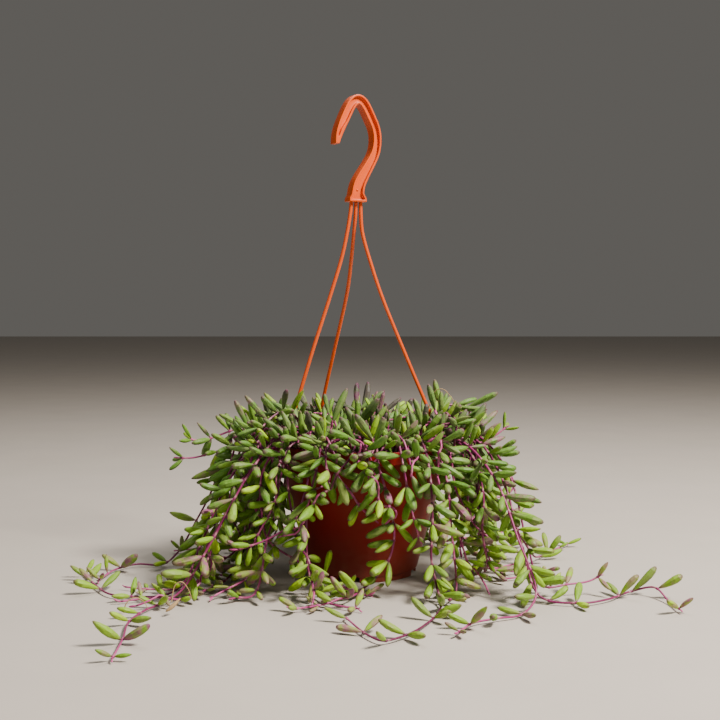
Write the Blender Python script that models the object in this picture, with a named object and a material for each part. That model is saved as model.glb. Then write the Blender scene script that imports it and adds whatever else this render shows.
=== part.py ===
"""Trailing succulent in a moulded hanging pot, with its hook and hanger strands.

All sizes below are in millimetres. The origin is on the pot's axis at table height,
+Z is up and the plant is seen from -Y.
"""

import math
import random

import bmesh
import bpy
import numpy as np
from mathutils import Vector
from mathutils.kdtree import KDTree

MM = 0.001
MERGE = 1e-6
UP = np.array((0.0, 0.0, 1.0))

# Pot: outer radii and heights of a 150 mm hanging pot
RIM_RADIUS = 75.0
POT_HEIGHT = 110.0
BAND_HEIGHT = 11.5
SHOULDER_RADIUS = 71.5
LEDGE_RADIUS = 46.0
FOOT_RADIUS = 45.0
FOOT_HEIGHT = 5.0
FOOT_WALL = 2.2
RIM_WALL = 2.2
WALL = 1.7
POT_SIDES = 36
SOIL_SIDES = 24
BAND_BOTTOM = POT_HEIGHT - BAND_HEIGHT
BAND_INSIDE = RIM_RADIUS - RIM_WALL

# Foot notches, drain holes and hanger holes
NOTCH_COUNT = 4
NOTCH_AZIMUTH = -105.4
NOTCH_WIDTH = 18.5
NOTCH_HEIGHT = 4.4
CUTTER_DEPTH = 8.0
DRAIN_COUNT = 4
DRAIN_RADIUS = 4.0
DRAIN_CIRCLE = 26.0
HANGER_HOLES = 6
HANGER_HOLE_AZIMUTH = 5.0
HANGER_HOLE = 4.4
HANGER_HOLE_HEIGHT = 104.6

# Soil
SOIL_GAP = 0.35
SOIL_TOP = 98.0
SOIL_EDGE_DROP = 1.5
SOIL_EDGE_WIDTH = 2.0
HOLE_RADIUS = 2.0
HOLE_SIDES = 4
HOLE_DEPTH = 8.0
ROOT_LIFT = 0.5
ROOT_RISE = 1.5
ROOT_GAP = 5.5
ROOT_REACH = 63.0
ROOT_TRIES = 400

# Hook: centre line across its own flat side, as (across, height, half width)
HOOK_TURN = 28.0
HOOK_THICKNESS = 10.0
HOOK_RIB = 1.7
HOOK_RECESS = 2.4
HOOK_LINE = [
    (-26.2, 358.8, 1.7), (-25.1, 365.0, 2.7), (-22.2, 373.0, 3.5), (-17.3, 383.0, 3.9),
    (-12.4, 392.4, 3.9), (-6.2, 397.5, 3.9), (-0.2, 392.8, 3.8), (5.4, 383.0, 3.7),
    (10.2, 373.5, 3.6), (11.5, 364.5, 3.6), (9.9, 353.5, 3.8), (4.5, 343.3, 4.2),
    (-1.6, 333.5, 4.8), (-6.1, 325.2, 5.3), (-7.0, 319.3, 5.6),
]
HOOK_FOOT = (-6.95, 311.8, 316.6, 8.0)
HOOK_GROOVE = (0.1, 0.93)
HOOK_RINGS = 28

# Hanger strands, each from the hook's foot to its hole in the rim band
STRAND_RADIUS = 1.55
STRAND_SIDES = 6
STRAND_TOP_RINGS = (0, 3, 8)
STRAND_RING_STEP = 22
STRAND_END_RINGS = (9, 6, 4, 2)
STRAND_MARGIN = 0.6
FIRST_STRAND_OWNER = -10
STRAND_TOP = HOOK_FOOT[1] - 0.3
BUTTON_RADIUS = 2.9
BUTTON_LENGTH = 1.6
STRANDS = {
    "hanger_strand_left": (185.0, [
        (-9.7, -5.2, STRAND_TOP), (-11.0, -5.2, 300.0), (-16.8, -4.8, 269.6),
        (-26.7, -5.2, 236.0), (-41.5, -5.6, 190.0), (-57.5, -6.0, 138.0)]),
    "hanger_strand_back": (125.0, [
        (-5.9, -3.1, STRAND_TOP), (-6.5, -1.0, 300.0), (-9.5, 9.4, 268.5),
        (-13.3, 18.5, 238.0), (-25.8, 34.4, 182.5), (-36.1, 47.2, 136.0)]),
    "hanger_strand_right": (5.0, [
        (-2.1, -1.1, STRAND_TOP), (-1.8, -0.8, 300.0), (-0.7, 0.5, 287.0),
        (7.4, 1.5, 258.0), (16.6, 2.5, 231.0), (35.2, 4.0, 185.5), (53.7, 5.0, 141.5)]),
}

# Stems and leaves
PATH_STEP = 2.0
HELD_STEPS = 5
SETTLE_ROUNDS = 80
UNSMOOTHED_ROUNDS = 8
SETTLE_SHARE = 0.7
SETTLE_LEAN = 0.9
LIFT_LEVEL = 20.0
STEM_GAP = 2.8
POT_GAP = 1.6
STEM_RADIUS = 1.1
STEM_SIDES = 3
STEM_TABLE = 3.0
NODE_LENGTH = 2.2
LEAF_LENGTH = (17.0, 25.0)
LEAF_SLENDER = 0.165
LEAF_RINGS = ((0.31, 0.86), (0.73, 0.98))
LEAF_BALLS = ((0.18, 0.6), (0.33, 0.93), (0.49, 1.03), (0.65, 1.05), (0.8, 0.88), (0.93, 0.4))
LEAVES_AT_NODE = (2, 3, 3, 3)
LEAF_TRIES = 10
LEAF_BEND = 0.1
LEAF_ROOT_SHARE = 0.5
LEAST_OUTWARD = 0.42
MOST_AHEAD = 0.66
MOST_AHEAD_AT_TIP = 0.8
MOST_BEHIND = 0.4
AHEAD_PULL = 0.45
OUTWARD_PULL = 0.85
WILFULNESS = 0.45
CROWN_PULL = (0.2, 0.62)
SIDE_PULL = (0.4, -0.22)
TABLE_PULL = (0.0, -0.05)
CROWN_LEVEL = 104.0
CROWN_EDGE = 104.0
LOW_LEVEL = 12.0
CROWN_SPACING = (21.0, 28.0)
TRAIL_SPACING = (38.0, 50.0)
YOUNG_SIZE = 0.64
YOUNG_REACH = 100.0
STRAY = 2.0
CLEARANCE = 0.4
TABLE_GAP = 0.35
NEARBY = 40.0
SEED = 7

# Trails that the front and the sides show, from the soil to the tip
TRAILS = {
    "stem_front_left": [
        (-30, -50), (-33, -70, 118), (-35, -88, 104), (-43, -89, 71), (-44, -89, 42),
        (-43, -88, 22), (-38, -90, 7), (-26, -120, 3), (-3, -137, 3)],
    "stem_front_middle": [
        (8, -52), (10, -72, 119), (12, -88, 102), (20, -90, 74), (24, -89, 47),
        (19, -88, 27), (3, -86, 8), (-21, -128, 5), (-53, -138, 3)],
    "stem_front_crossing": [
        (-49, -34), (-63, -58, 118), (-79, -74, 95), (-79, -80, 60), (-74, -80, 42),
        (-50, -76, 24), (-26, -77, 10), (-6, -88, 4), (6, -96, 3)],
    "stem_front_right": [
        (38, -42), (46, -64, 119), (51, -90, 100), (53, -101, 60), (52, -102, 33),
        (56, -106, 12), (58, -126, 3), (42, -182, 3), (27, -207, 3), (13, -218, 3),
        (3, -205, 3), (-13, -160, 3)],
    "stem_right_front": [
        (54, -30), (80, -52, 116), (103, -88, 90), (117, -112, 50), (128, -132, 14),
        (116, -150, 3), (95, -163, 3), (78, -174, 3), (64, -200, 3)],
    "stem_right_long": [
        (60, -12), (92, -38, 116), (110, -74, 88), (122, -96, 42), (134, -112, 6),
        (163, -120, 3), (186, -109, 3), (210, -84, 3), (225, -92, 8), (231, -112, 3),
        (233, -140, 3)],
    "stem_right_raised": [
        (60, 4), (94, -18, 118), (117, -58, 90), (128, -84, 40), (138, -94, 10),
        (160, -90, 10), (176, -88, 12), (186, -87, 17)],
    "stem_right_back": [
        (54, 24), (84, 20, 118), (101, 16, 84), (106, 16, 61), (119, 16, 45),
        (136, 18, 26), (148, 23, 8), (157, 40, 3), (172, 64, 3), (192, 95, 3)],
    "stem_right_arch": [
        (40, -6), (56, -3, 125), (75, 0, 117), (89, 2, 111), (100, 3, 109), (111, 3, 114),
        (123, 4, 123)],
    "stem_right_loop": [
        (48, 9), (73, 11, 123), (91, 11, 113), (104, 11, 103), (117, 12, 92), (127, 14, 80),
        (130, 14, 70), (124, 12, 63), (110, 10, 60)],
    "stem_right_hanging": [
        (46, -22), (70, -40, 118), (88, -58, 104), (95, -70, 76), (94, -74, 48), (98, -80, 22)],
    "stem_left_arch": [
        (-46, 10), (-76, 15, 125), (-108, 20, 119), (-138, 20, 109), (-152, 20, 110)],
    "stem_left_long": [
        (-38, -14), (-58, -32, 119), (-86, -26, 106), (-113, -8, 93), (-124, 8, 80),
        (-133, 16, 60), (-145, 20, 38), (-160, 20, 12), (-172, 10, 3), (-194, 10, 3),
        (-208, -8, 3), (-215, -50, 3)],
    "stem_left_shoulder": [
        (-52, -2), (-80, 2, 116), (-104, 8, 108), (-126, 9, 100), (-146, 10, 95),
        (-158, 10, 95)],
    "stem_left_outer": [
        (-54, -20), (-82, -38, 117), (-106, -60, 88), (-126, -80, 42), (-140, -90, 10),
        (-154, -97, 3), (-174, -101, 3), (-194, -95, 3), (-212, -68, 3), (-232, -22, 3)],
    "stem_left_front": [
        (-42, -28), (-70, -56, 118), (-92, -80, 90), (-116, -98, 46), (-138, -108, 10),
        (-150, -118, 3), (-160, -140, 3), (-166, -173, 3), (-162, -214, 3), (-160, -258, 3)],
    "stem_left_inner": [
        (-56, 8), (-86, -6, 112), (-98, -14, 72), (-100, -22, 20), (-110, -44, 4),
        (-122, -78, 3), (-132, -96, 3)],
    "stem_left_short": [
        (-36, -42), (-56, -64, 116), (-67, -78, 98), (-69, -82, 73), (-84, -84, 44)],
    "stem_left_sweep": [
        (-20, -52), (-28, -72, 117), (-37, -86, 101), (-45, -95, 80), (-54, -97, 60),
        (-74, -95, 46), (-98, -92, 37)],
    "stem_front_short": [
        (23, -50), (27, -72, 119), (31, -88, 102), (36, -92, 74), (44, -93, 44)],
    "stem_back_long_left": [
        (-28, 46), (-42, 72, 119), (-62, 96, 88), (-78, 114, 40), (-92, 134, 6),
        (-118, 160, 3), (-126, 204, 3), (-146, 253, 3)],
    "stem_back_long_right": [
        (24, 50), (38, 74, 119), (56, 98, 88), (66, 118, 40), (80, 140, 6), (84, 176, 3),
        (112, 212, 3), (122, 255, 3)],
}

# Trails placed by a rule: azimuth, and length of the stretch that lies on the table
RULE_TRAILS = [
    (-148, 14), (-134, 8), (-42, 12), (-22, 22), (-6, 40), (24, 52), (44, 34), (62, 70),
    (82, 40), (100, 64), (122, 40), (140, 56), (160, 44),
]
CROWN_SHOOTS = 14
CROWN_RADIUS = 54.0
CREST_RADIUS = 69.0
CREST_HEIGHT = 117.0
CREST_MARGIN = 8.0
GOLDEN_ANGLE = math.radians(137.508)
FIRST_LEAF = 9


def material(name, colour, roughness):
    """Principled material in a linear colour."""
    made = bpy.data.materials.new(name)
    made.use_nodes = True
    shader = made.node_tree.nodes["Principled BSDF"]
    shader.inputs["Base Color"].default_value = (*colour, 1.0)
    shader.inputs["Roughness"].default_value = roughness
    shader.inputs["Metallic"].default_value = 0.0
    return made


def add_object(name, bm, finish):
    """Object of the mesh in bm, at the origin."""
    mesh = bpy.data.meshes.new(name)
    bm.to_mesh(mesh)
    bm.free()
    mesh.materials.append(finish)
    made = bpy.data.objects.new(name, mesh)
    bpy.context.scene.collection.objects.link(made)
    return made


def shade(made, angle=35.0):
    """Smooth shading, sharp where faces meet at more than the angle."""
    made.data.shade_smooth()
    made.data.set_sharp_from_angle(angle=math.radians(angle))


def unit(vector):
    """The vector at length one."""
    return vector / np.linalg.norm(vector)


def turned(profile, sides):
    """Solid turned about the pot's axis from a profile of (radius, height) points."""
    bm = bmesh.new()
    points = [bm.verts.new((radius * MM, 0.0, height * MM)) for radius, height in profile]
    edges = [bm.edges.new(pair) for pair in zip(points, points[1:])]
    bmesh.ops.spin(bm, geom=points + edges, axis=(0, 0, 1), cent=(0, 0, 0),
                   angle=2 * math.pi, steps=sides, use_duplicate=False)
    bmesh.ops.remove_doubles(bm, verts=bm.verts, dist=MERGE)
    bmesh.ops.recalc_face_normals(bm, faces=bm.faces)
    return bm


def swept(rings, finish, name):
    """Solid through closed rings of the same number of points, capped at both ends."""
    bm = bmesh.new()
    loops = [[bm.verts.new(Vector(point) * MM) for point in ring] for ring in rings]
    count = len(loops[0])
    for low, high in zip(loops, loops[1:]):
        for i in range(count):
            j = (i + 1) % count
            bm.faces.new((low[i], low[j], high[j], high[i]))
    bm.faces.new(reversed(loops[0]))
    bm.faces.new(loops[-1])
    bmesh.ops.remove_doubles(bm, verts=bm.verts, dist=MERGE)
    bmesh.ops.recalc_face_normals(bm, faces=bm.faces)
    return add_object(name, bm, finish)


def cut(body, cutters):
    """Cut a collection of closed tools out of the body."""
    tools = bpy.data.collections.new(body.name + "_cutters")
    bpy.context.scene.collection.children.link(tools)
    for cutter in cutters:
        bpy.context.scene.collection.objects.unlink(cutter)
        tools.objects.link(cutter)
        cutter.hide_render = True
        cutter.display_type = "WIRE"
    boolean = body.modifiers.new("holes", "BOOLEAN")
    boolean.operand_type = "COLLECTION"
    boolean.collection = tools
    boolean.operation = "DIFFERENCE"
    boolean.solver = "EXACT"


def block_cutter(name, finish, size, radius, azimuth, height):
    """Box across the wall at an azimuth, with its middle at the given radius and height."""
    bm = bmesh.new()
    bmesh.ops.create_cube(bm, size=MM)
    bmesh.ops.scale(bm, vec=size, verts=bm.verts)
    cutter = add_object(name, bm, finish)
    angle = math.radians(azimuth)
    cutter.location = Vector((radius * math.cos(angle), radius * math.sin(angle), height)) * MM
    cutter.rotation_euler = (0.0, 0.0, angle)
    return cutter


def round_cutter(name, finish, radius, sides, bottom, top, place):
    """Upright prism between two heights."""
    bm = bmesh.new()
    bmesh.ops.create_cone(bm, cap_ends=True, segments=sides, radius1=radius * MM,
                          radius2=radius * MM, depth=(top - bottom) * MM)
    cutter = add_object(name, bm, finish)
    cutter.location = Vector((place[0], place[1], (bottom + top) / 2)) * MM
    return cutter


def wall_radius(height):
    """Outer radius of the pot's tapering wall."""
    share = (height - FOOT_HEIGHT) / (BAND_BOTTOM - FOOT_HEIGHT)
    return LEDGE_RADIUS + share * (SHOULDER_RADIUS - LEDGE_RADIUS)


def make_pot(finish):
    """Pot with its foot notches, drain holes and hanger holes."""
    floor_top = FOOT_HEIGHT + WALL
    profile = [
        (0.0, FOOT_HEIGHT), (FOOT_RADIUS - FOOT_WALL, FOOT_HEIGHT),
        (FOOT_RADIUS - FOOT_WALL, 0.0),
        (FOOT_RADIUS, 0.0), (FOOT_RADIUS, FOOT_HEIGHT - 0.6), (LEDGE_RADIUS, FOOT_HEIGHT),
        (SHOULDER_RADIUS, BAND_BOTTOM), (RIM_RADIUS - 0.5, BAND_BOTTOM + 1.2),
        (RIM_RADIUS, POT_HEIGHT - 0.6), (RIM_RADIUS - 0.6, POT_HEIGHT),
        (BAND_INSIDE, POT_HEIGHT), (BAND_INSIDE, BAND_BOTTOM + 2.6),
        (SHOULDER_RADIUS - WALL, BAND_BOTTOM - 0.6),
        (wall_radius(floor_top) - WALL, floor_top), (0.0, floor_top),
    ]
    pot = add_object("pot", turned(profile, POT_SIDES), finish)
    shade(pot)
    cutters = []
    for i in range(NOTCH_COUNT):
        azimuth = NOTCH_AZIMUTH + i * 360 / NOTCH_COUNT
        size = (CUTTER_DEPTH, NOTCH_WIDTH, 2 * NOTCH_HEIGHT)
        cutters.append(block_cutter(f"foot_notch_{i}", finish, size, FOOT_RADIUS, azimuth, 0.0))
    for i in range(HANGER_HOLES):
        azimuth = HANGER_HOLE_AZIMUTH + i * 360 / HANGER_HOLES
        size = (CUTTER_DEPTH, HANGER_HOLE, HANGER_HOLE)
        cutters.append(block_cutter(f"hanger_hole_{i}", finish, size,
                                    RIM_RADIUS - RIM_WALL / 2, azimuth, HANGER_HOLE_HEIGHT))
    for i in range(DRAIN_COUNT):
        angle = math.radians(NOTCH_AZIMUTH + 45) + i * 2 * math.pi / DRAIN_COUNT
        place = (DRAIN_CIRCLE * math.cos(angle), DRAIN_CIRCLE * math.sin(angle))
        cutters.append(round_cutter(f"drain_hole_{i}", finish, DRAIN_RADIUS, 8,
                                    FOOT_HEIGHT - 2, floor_top + 2, place))
    cut(pot, cutters)


def make_soil(finish, roots):
    """Plug of soil with a plain hole for each stem."""
    bottom = FOOT_HEIGHT + WALL + SOIL_GAP
    inset = WALL + SOIL_GAP
    edge = SOIL_TOP - SOIL_EDGE_DROP
    edge_radius = wall_radius(edge) - inset
    profile = [
        (0.0, bottom), (wall_radius(bottom) - inset, bottom), (edge_radius, edge),
        (edge_radius - SOIL_EDGE_WIDTH, SOIL_TOP), (0.0, SOIL_TOP),
    ]
    soil = add_object("soil", turned(profile, SOIL_SIDES), finish)
    shade(soil)
    cut(soil, [round_cutter(f"stem_hole_{i}", finish, HOLE_RADIUS, HOLE_SIDES,
                            SOIL_TOP - HOLE_DEPTH, SOIL_TOP + 4, root)
               for i, root in enumerate(roots)])


def lengths_along(points):
    """Distance of each point from the first, measured along the line."""
    steps = np.linalg.norm(np.diff(points, axis=0), axis=1)
    return np.concatenate(([0.0], np.cumsum(steps)))


def curve_through(points, step):
    """Smooth curve through the points, read at an even step."""
    points = np.array(points, float)
    ends = (2 * points[0] - points[1], 2 * points[-1] - points[-2])
    guide = np.vstack((ends[0], points, ends[1]))
    spans = np.linalg.norm(np.diff(guide, axis=0), axis=1)
    knots = np.concatenate(([0.0], np.cumsum(spans ** 0.5)))
    fine = []
    for i in range(1, len(guide) - 2):
        p0, p1, p2, p3 = guide[i - 1:i + 3]
        k0, k1, k2, k3 = knots[i - 1:i + 3]
        for k in np.linspace(k1, k2, 16, endpoint=False):
            a1 = (k1 - k) / (k1 - k0) * p0 + (k - k0) / (k1 - k0) * p1
            a2 = (k2 - k) / (k2 - k1) * p1 + (k - k1) / (k2 - k1) * p2
            a3 = (k3 - k) / (k3 - k2) * p2 + (k - k2) / (k3 - k2) * p3
            b1 = (k2 - k) / (k2 - k0) * a1 + (k - k0) / (k2 - k0) * a2
            b2 = (k3 - k) / (k3 - k1) * a2 + (k - k1) / (k3 - k1) * a3
            fine.append((k2 - k) / (k2 - k1) * b1 + (k - k1) / (k2 - k1) * b2)
    fine.append(guide[-2])
    fine = np.array(fine)
    along = lengths_along(fine)
    count = max(2, int(round(along[-1] / step)) + 1)
    marks = np.linspace(0.0, along[-1], count)
    return np.column_stack([np.interp(marks, along, fine[:, i]) for i in range(fine.shape[1])])


def frames_along(path, first_side):
    """Tangents of a path and a side direction carried along it without twist."""
    tangents = np.gradient(path, axis=0)
    tangents /= np.linalg.norm(tangents, axis=1)[:, None]
    sides = []
    side = np.array(first_side, float)
    for tangent in tangents:
        side = unit(side - side.dot(tangent) * tangent)
        sides.append(side)
    return tangents, np.array(sides)


def ring_points(centre, tangent, side, radius, count, turn=0.0):
    """Even ring of points round a centre, counter-clockwise about the tangent."""
    across = np.cross(tangent, side)
    angles = turn + np.arange(count) * 2 * math.pi / count
    return centre + radius * (np.outer(np.cos(angles), side) + np.outer(np.sin(angles), across))


def make_hook(finish):
    """Hook with a rib along both edges and a recessed web, swept along its centre line."""
    line = curve_through(HOOK_LINE, 1.0)
    marks = np.linspace(0, len(line) - 1, HOOK_RINGS)
    line = np.column_stack([np.interp(marks, np.arange(len(line)), line[:, i]) for i in range(3)])
    foot_across, foot_bottom, foot_top, foot_half = HOOK_FOOT
    line = np.vstack((line, (foot_across, foot_top, foot_half),
                      (foot_across, foot_bottom, foot_half)))
    tangents = np.gradient(line[:, :2], axis=0)
    tangents /= np.linalg.norm(tangents, axis=1)[:, None]
    tangents[0] = (0.0, 1.0)
    tangents[-2:] = (0.0, -1.0)
    half_thick = HOOK_THICKNESS / 2
    turn = math.radians(HOOK_TURN)
    rings = []
    for i, ((across, height, half), (run, rise)) in enumerate(zip(line, tangents)):
        share = i / (len(line) - 1)
        sunk = HOOK_RECESS if HOOK_GROOVE[0] < share < HOOK_GROOVE[1] else 0.0
        rib = half - HOOK_RIB
        floor = half_thick - sunk
        section = [(-half, -half_thick), (-rib, -half_thick), (-rib, -floor), (rib, -floor),
                   (rib, -half_thick), (half, -half_thick), (half, half_thick),
                   (rib, half_thick), (rib, floor), (-rib, floor), (-rib, half_thick),
                   (-half, half_thick)]
        ring = []
        for offset, depth in section:
            u = across + offset * rise
            z = height - offset * run
            ring.append((u * math.cos(turn) - depth * math.sin(turn),
                         u * math.sin(turn) + depth * math.cos(turn), z))
        rings.append(ring)
    hook = swept(rings, finish, "hanger_hook")
    shade(hook)


def strand_path(azimuth, points):
    """Path of a hanger strand, ending in its peg through the rim band."""
    angle = math.radians(azimuth)
    outward = np.array((math.cos(angle), math.sin(angle), 0.0))
    low = HANGER_HOLE_HEIGHT * UP
    end = [(BAND_INSIDE - 4.6) * outward + (HANGER_HOLE_HEIGHT + 4.5) * UP,
           (BAND_INSIDE - 2.9) * outward + low + 0.8 * UP,
           (BAND_INSIDE - 0.6) * outward + low]
    return curve_through(list(map(tuple, points)) + [tuple(p) for p in end], 1.0), outward


def make_strand(name, azimuth, points, finish):
    """Round strand with a peg and a button that hold it in the rim band."""
    path, outward = strand_path(azimuth, points)
    spread = list(STRAND_TOP_RINGS)
    spread += list(range(20, len(path) - 16, STRAND_RING_STEP))
    spread += [len(path) - back for back in STRAND_END_RINGS]
    tangents, sides = frames_along(path, (0.0, 1.0, 0.0))
    tangents[0] = -UP
    rings = [ring_points(path[i], tangents[i], sides[i], STRAND_RADIUS, STRAND_SIDES)
             for i in spread]
    side = unit(sides[-1] - sides[-1].dot(outward) * outward)
    low = HANGER_HOLE_HEIGHT * UP
    outside = RIM_RADIUS + SOIL_GAP
    for reach, radius in ((BAND_INSIDE, STRAND_RADIUS), (outside, STRAND_RADIUS),
                          (outside, BUTTON_RADIUS),
                          (outside + BUTTON_LENGTH, BUTTON_RADIUS - 0.5)):
        rings.append(ring_points(reach * outward + low, outward, side, radius, STRAND_SIDES))
    strand = swept(rings, finish, name)
    shade(strand, 50.0)
    return path


def pot_outline():
    """Outline of the filled pot that stems and leaves stay clear of."""
    return np.array([
        (0.0, 0.0), (FOOT_RADIUS, 0.0), (LEDGE_RADIUS, FOOT_HEIGHT),
        (SHOULDER_RADIUS, BAND_BOTTOM), (RIM_RADIUS, BAND_BOTTOM + 1.0),
        (RIM_RADIUS, POT_HEIGHT), (BAND_INSIDE, POT_HEIGHT),
        (BAND_INSIDE, BAND_BOTTOM + 1.0), (SHOULDER_RADIUS - WALL, SOIL_TOP), (0.0, SOIL_TOP)])


def inside_pot(radius, height):
    """Whether points are inside the soil, the wall or the rim band."""
    wall = wall_radius(height)
    filled = (height > 0) & (height < SOIL_TOP) & (radius < wall)
    in_band = (height >= SOIL_TOP) & (height < POT_HEIGHT)
    return filled | (in_band & (radius > BAND_INSIDE) & (radius < RIM_RADIUS))


def pot_distance(points):
    """Signed distance of points from the filled pot, and the direction away from it."""
    radius = np.hypot(points[:, 0], points[:, 1])
    flat = np.column_stack((radius, points[:, 2]))
    best = np.full(len(flat), np.inf)
    away = np.zeros_like(flat)
    outline = pot_outline()
    for start, end in zip(outline, outline[1:]):
        span = end - start
        share = np.clip((flat - start) @ span / (span @ span), 0.0, 1.0)
        gap = flat - (start + share[:, None] * span)
        distance = np.linalg.norm(gap, axis=1)
        nearer = distance < best
        best[nearer] = distance[nearer]
        away[nearer] = gap[nearer]
    sign = np.where(inside_pot(radius, points[:, 2]), -1.0, 1.0)
    away *= (sign / np.maximum(best, 1e-6))[:, None]
    safe = np.maximum(radius, 1e-6)
    direction = np.column_stack((away[:, 0] * points[:, 0] / safe,
                                 away[:, 0] * points[:, 1] / safe, away[:, 1]))
    return sign * best, direction


class Room:
    """Balls that fill the space already taken, each with its owner."""

    def __init__(self):
        self.centres = np.empty((0, 3))
        self.radii = np.empty(0)
        self.owners = np.empty(0, int)

    def take(self, centres, radii, owner):
        """Fill the space of these balls."""
        self.centres = np.vstack((self.centres, centres))
        self.radii = np.concatenate((self.radii, np.broadcast_to(radii, len(centres))))
        self.owners = np.concatenate((self.owners, np.full(len(centres), owner)))

    def gap(self, centres, radii, skip=-1):
        """Smallest gap between new balls and those of other owners."""
        others = self.owners != skip
        close = np.linalg.norm(self.centres - centres.mean(axis=0), axis=1) < NEARBY
        near = others & close
        if not near.any():
            return np.inf
        apart = np.linalg.norm(centres[:, None] - self.centres[near][None], axis=2)
        return (apart - radii[:, None] - self.radii[near][None]).min()


def settle(path, room):
    """Bend a path clear of the pot, the table and what is already placed."""
    tree = KDTree(len(room.centres))
    for i, centre in enumerate(room.centres):
        tree.insert(centre, i)
    tree.balance()
    start = path.copy()
    start[:HELD_STEPS + 1, :2] = path[0, :2]
    shift = np.zeros_like(path)
    for done in range(SETTLE_ROUNDS):
        path = start + shift
        for i in range(HELD_STEPS + 1, len(path)):
            near, index, distance = tree.find(path[i])
            wanted = STEM_RADIUS + room.radii[index] + STEM_GAP
            if distance < wanted:
                push = path[i] - np.array(near)
                radial = unit(np.array((path[i][0], path[i][1], 0.0)))
                lean = UP if path[i][2] < LIFT_LEVEL else radial
                away = unit(push + SETTLE_LEAN * lean)
                shift[i] += away * (wanted - distance) * SETTLE_SHARE
        path = start + shift
        distance, direction = pot_distance(path)
        short = np.clip(STEM_RADIUS + POT_GAP - distance, 0.0, None)
        short[:HELD_STEPS + 1] = 0.0
        shift += short[:, None] * direction
        if done < SETTLE_ROUNDS - UNSMOOTHED_ROUNDS:
            shift[1:-1] = 0.25 * shift[:-2] + 0.5 * shift[1:-1] + 0.25 * shift[2:]
        shift[:HELD_STEPS + 1] = 0.0
        low = STEM_RADIUS + TABLE_GAP + 0.1 - (start + shift)[:, 2]
        shift[:, 2] += np.clip(low, 0.0, None)
    return start + shift


def leaf_steps(path, rng):
    """Steps of a path that bear leaves, closer together in the crown."""
    steps = []
    step = FIRST_LEAF
    last = len(path) - 3
    while step < last - 3:
        steps.append(int(step))
        place = path[int(step)]
        crown = place[2] > CROWN_LEVEL and np.hypot(place[0], place[1]) < CROWN_EDGE
        step += rng.uniform(*(CROWN_SPACING if crown else TRAIL_SPACING)) / PATH_STEP
    return steps + [last]


def straight_runs(path, fixed):
    """Path made of straight runs between the fixed steps and wherever it would stray."""
    corners = [0, HELD_STEPS]
    for step in fixed + [len(path) - 1]:
        i = corners[-1] + 2
        while i < step - 1:
            span = unit(path[i + 1] - path[corners[-1]])
            arms = path[corners[-1] + 1:i + 1] - path[corners[-1]]
            if np.linalg.norm(np.cross(arms, span), axis=1).max() > STRAY:
                corners.append(i)
                i += 1
            i += 1
        corners.append(step)
    every = np.arange(len(path))
    runs = [np.interp(every, corners, path[corners, i]) for i in range(3)]
    return np.column_stack(runs), corners


class Stem:
    """A stem, the frames along it, its plant nodes and its leaves."""

    def __init__(self, name, path, owner, steps):
        self.name = name
        self.owner = owner
        self.radius = STEM_RADIUS
        self.count = STEM_SIDES
        self.steps = steps
        self.path, self.corners = straight_runs(path, steps)
        self.nodes = []
        self.tangents, self.sides = frames_along(self.path, (0.31, 0.95, 0.05))

    def at(self, mark):
        """Place, tangent and side direction at a distance along the stem."""
        steps = mark / PATH_STEP
        i = min(int(steps), len(self.path) - 2)
        share = steps - i
        place = (1 - share) * self.path[i] + share * self.path[i + 1]
        tangent = unit((1 - share) * self.tangents[i] + share * self.tangents[i + 1])
        side = (1 - share) * self.sides[i] + share * self.sides[i + 1]
        return place, tangent, unit(side - side.dot(tangent) * tangent)

    def length(self):
        """Length of the stem along its path."""
        return (len(self.path) - 1) * PATH_STEP


class Leaf:
    """A spindle leaf: where it starts, its direction, length, half width and bend."""

    def __init__(self, start, direction, length, half, bend):
        self.start = start
        self.direction = direction
        self.length = length
        self.half = half
        self.bend = bend

    def centre(self, share):
        """Point on the leaf's bent middle line, at a share of its length."""
        run = self.direction * self.length * share
        return self.start + run + self.bend * self.length * share ** 2

    def balls(self):
        """Balls that cover the leaf, as centres and radii."""
        centres = np.array([self.centre(share) for share, _ in LEAF_BALLS])
        return centres, np.array([size * self.half for _, size in LEAF_BALLS])


def leaf_wish(place, tangent, normal, rng):
    """Direction that a leaf would take at this place on the plant."""
    radial = unit(np.array((place[0], place[1], 1e-3)))
    if place[2] > CROWN_LEVEL:
        outward, upward = CROWN_PULL
    elif place[2] > LOW_LEVEL:
        outward, upward = SIDE_PULL
    else:
        outward, upward = TABLE_PULL
    jitter = np.array([rng.uniform(-WILFULNESS, WILFULNESS) for _ in range(3)])
    return unit(AHEAD_PULL * tangent + OUTWARD_PULL * normal
                + (upward * UP + outward * radial) + jitter)


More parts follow.
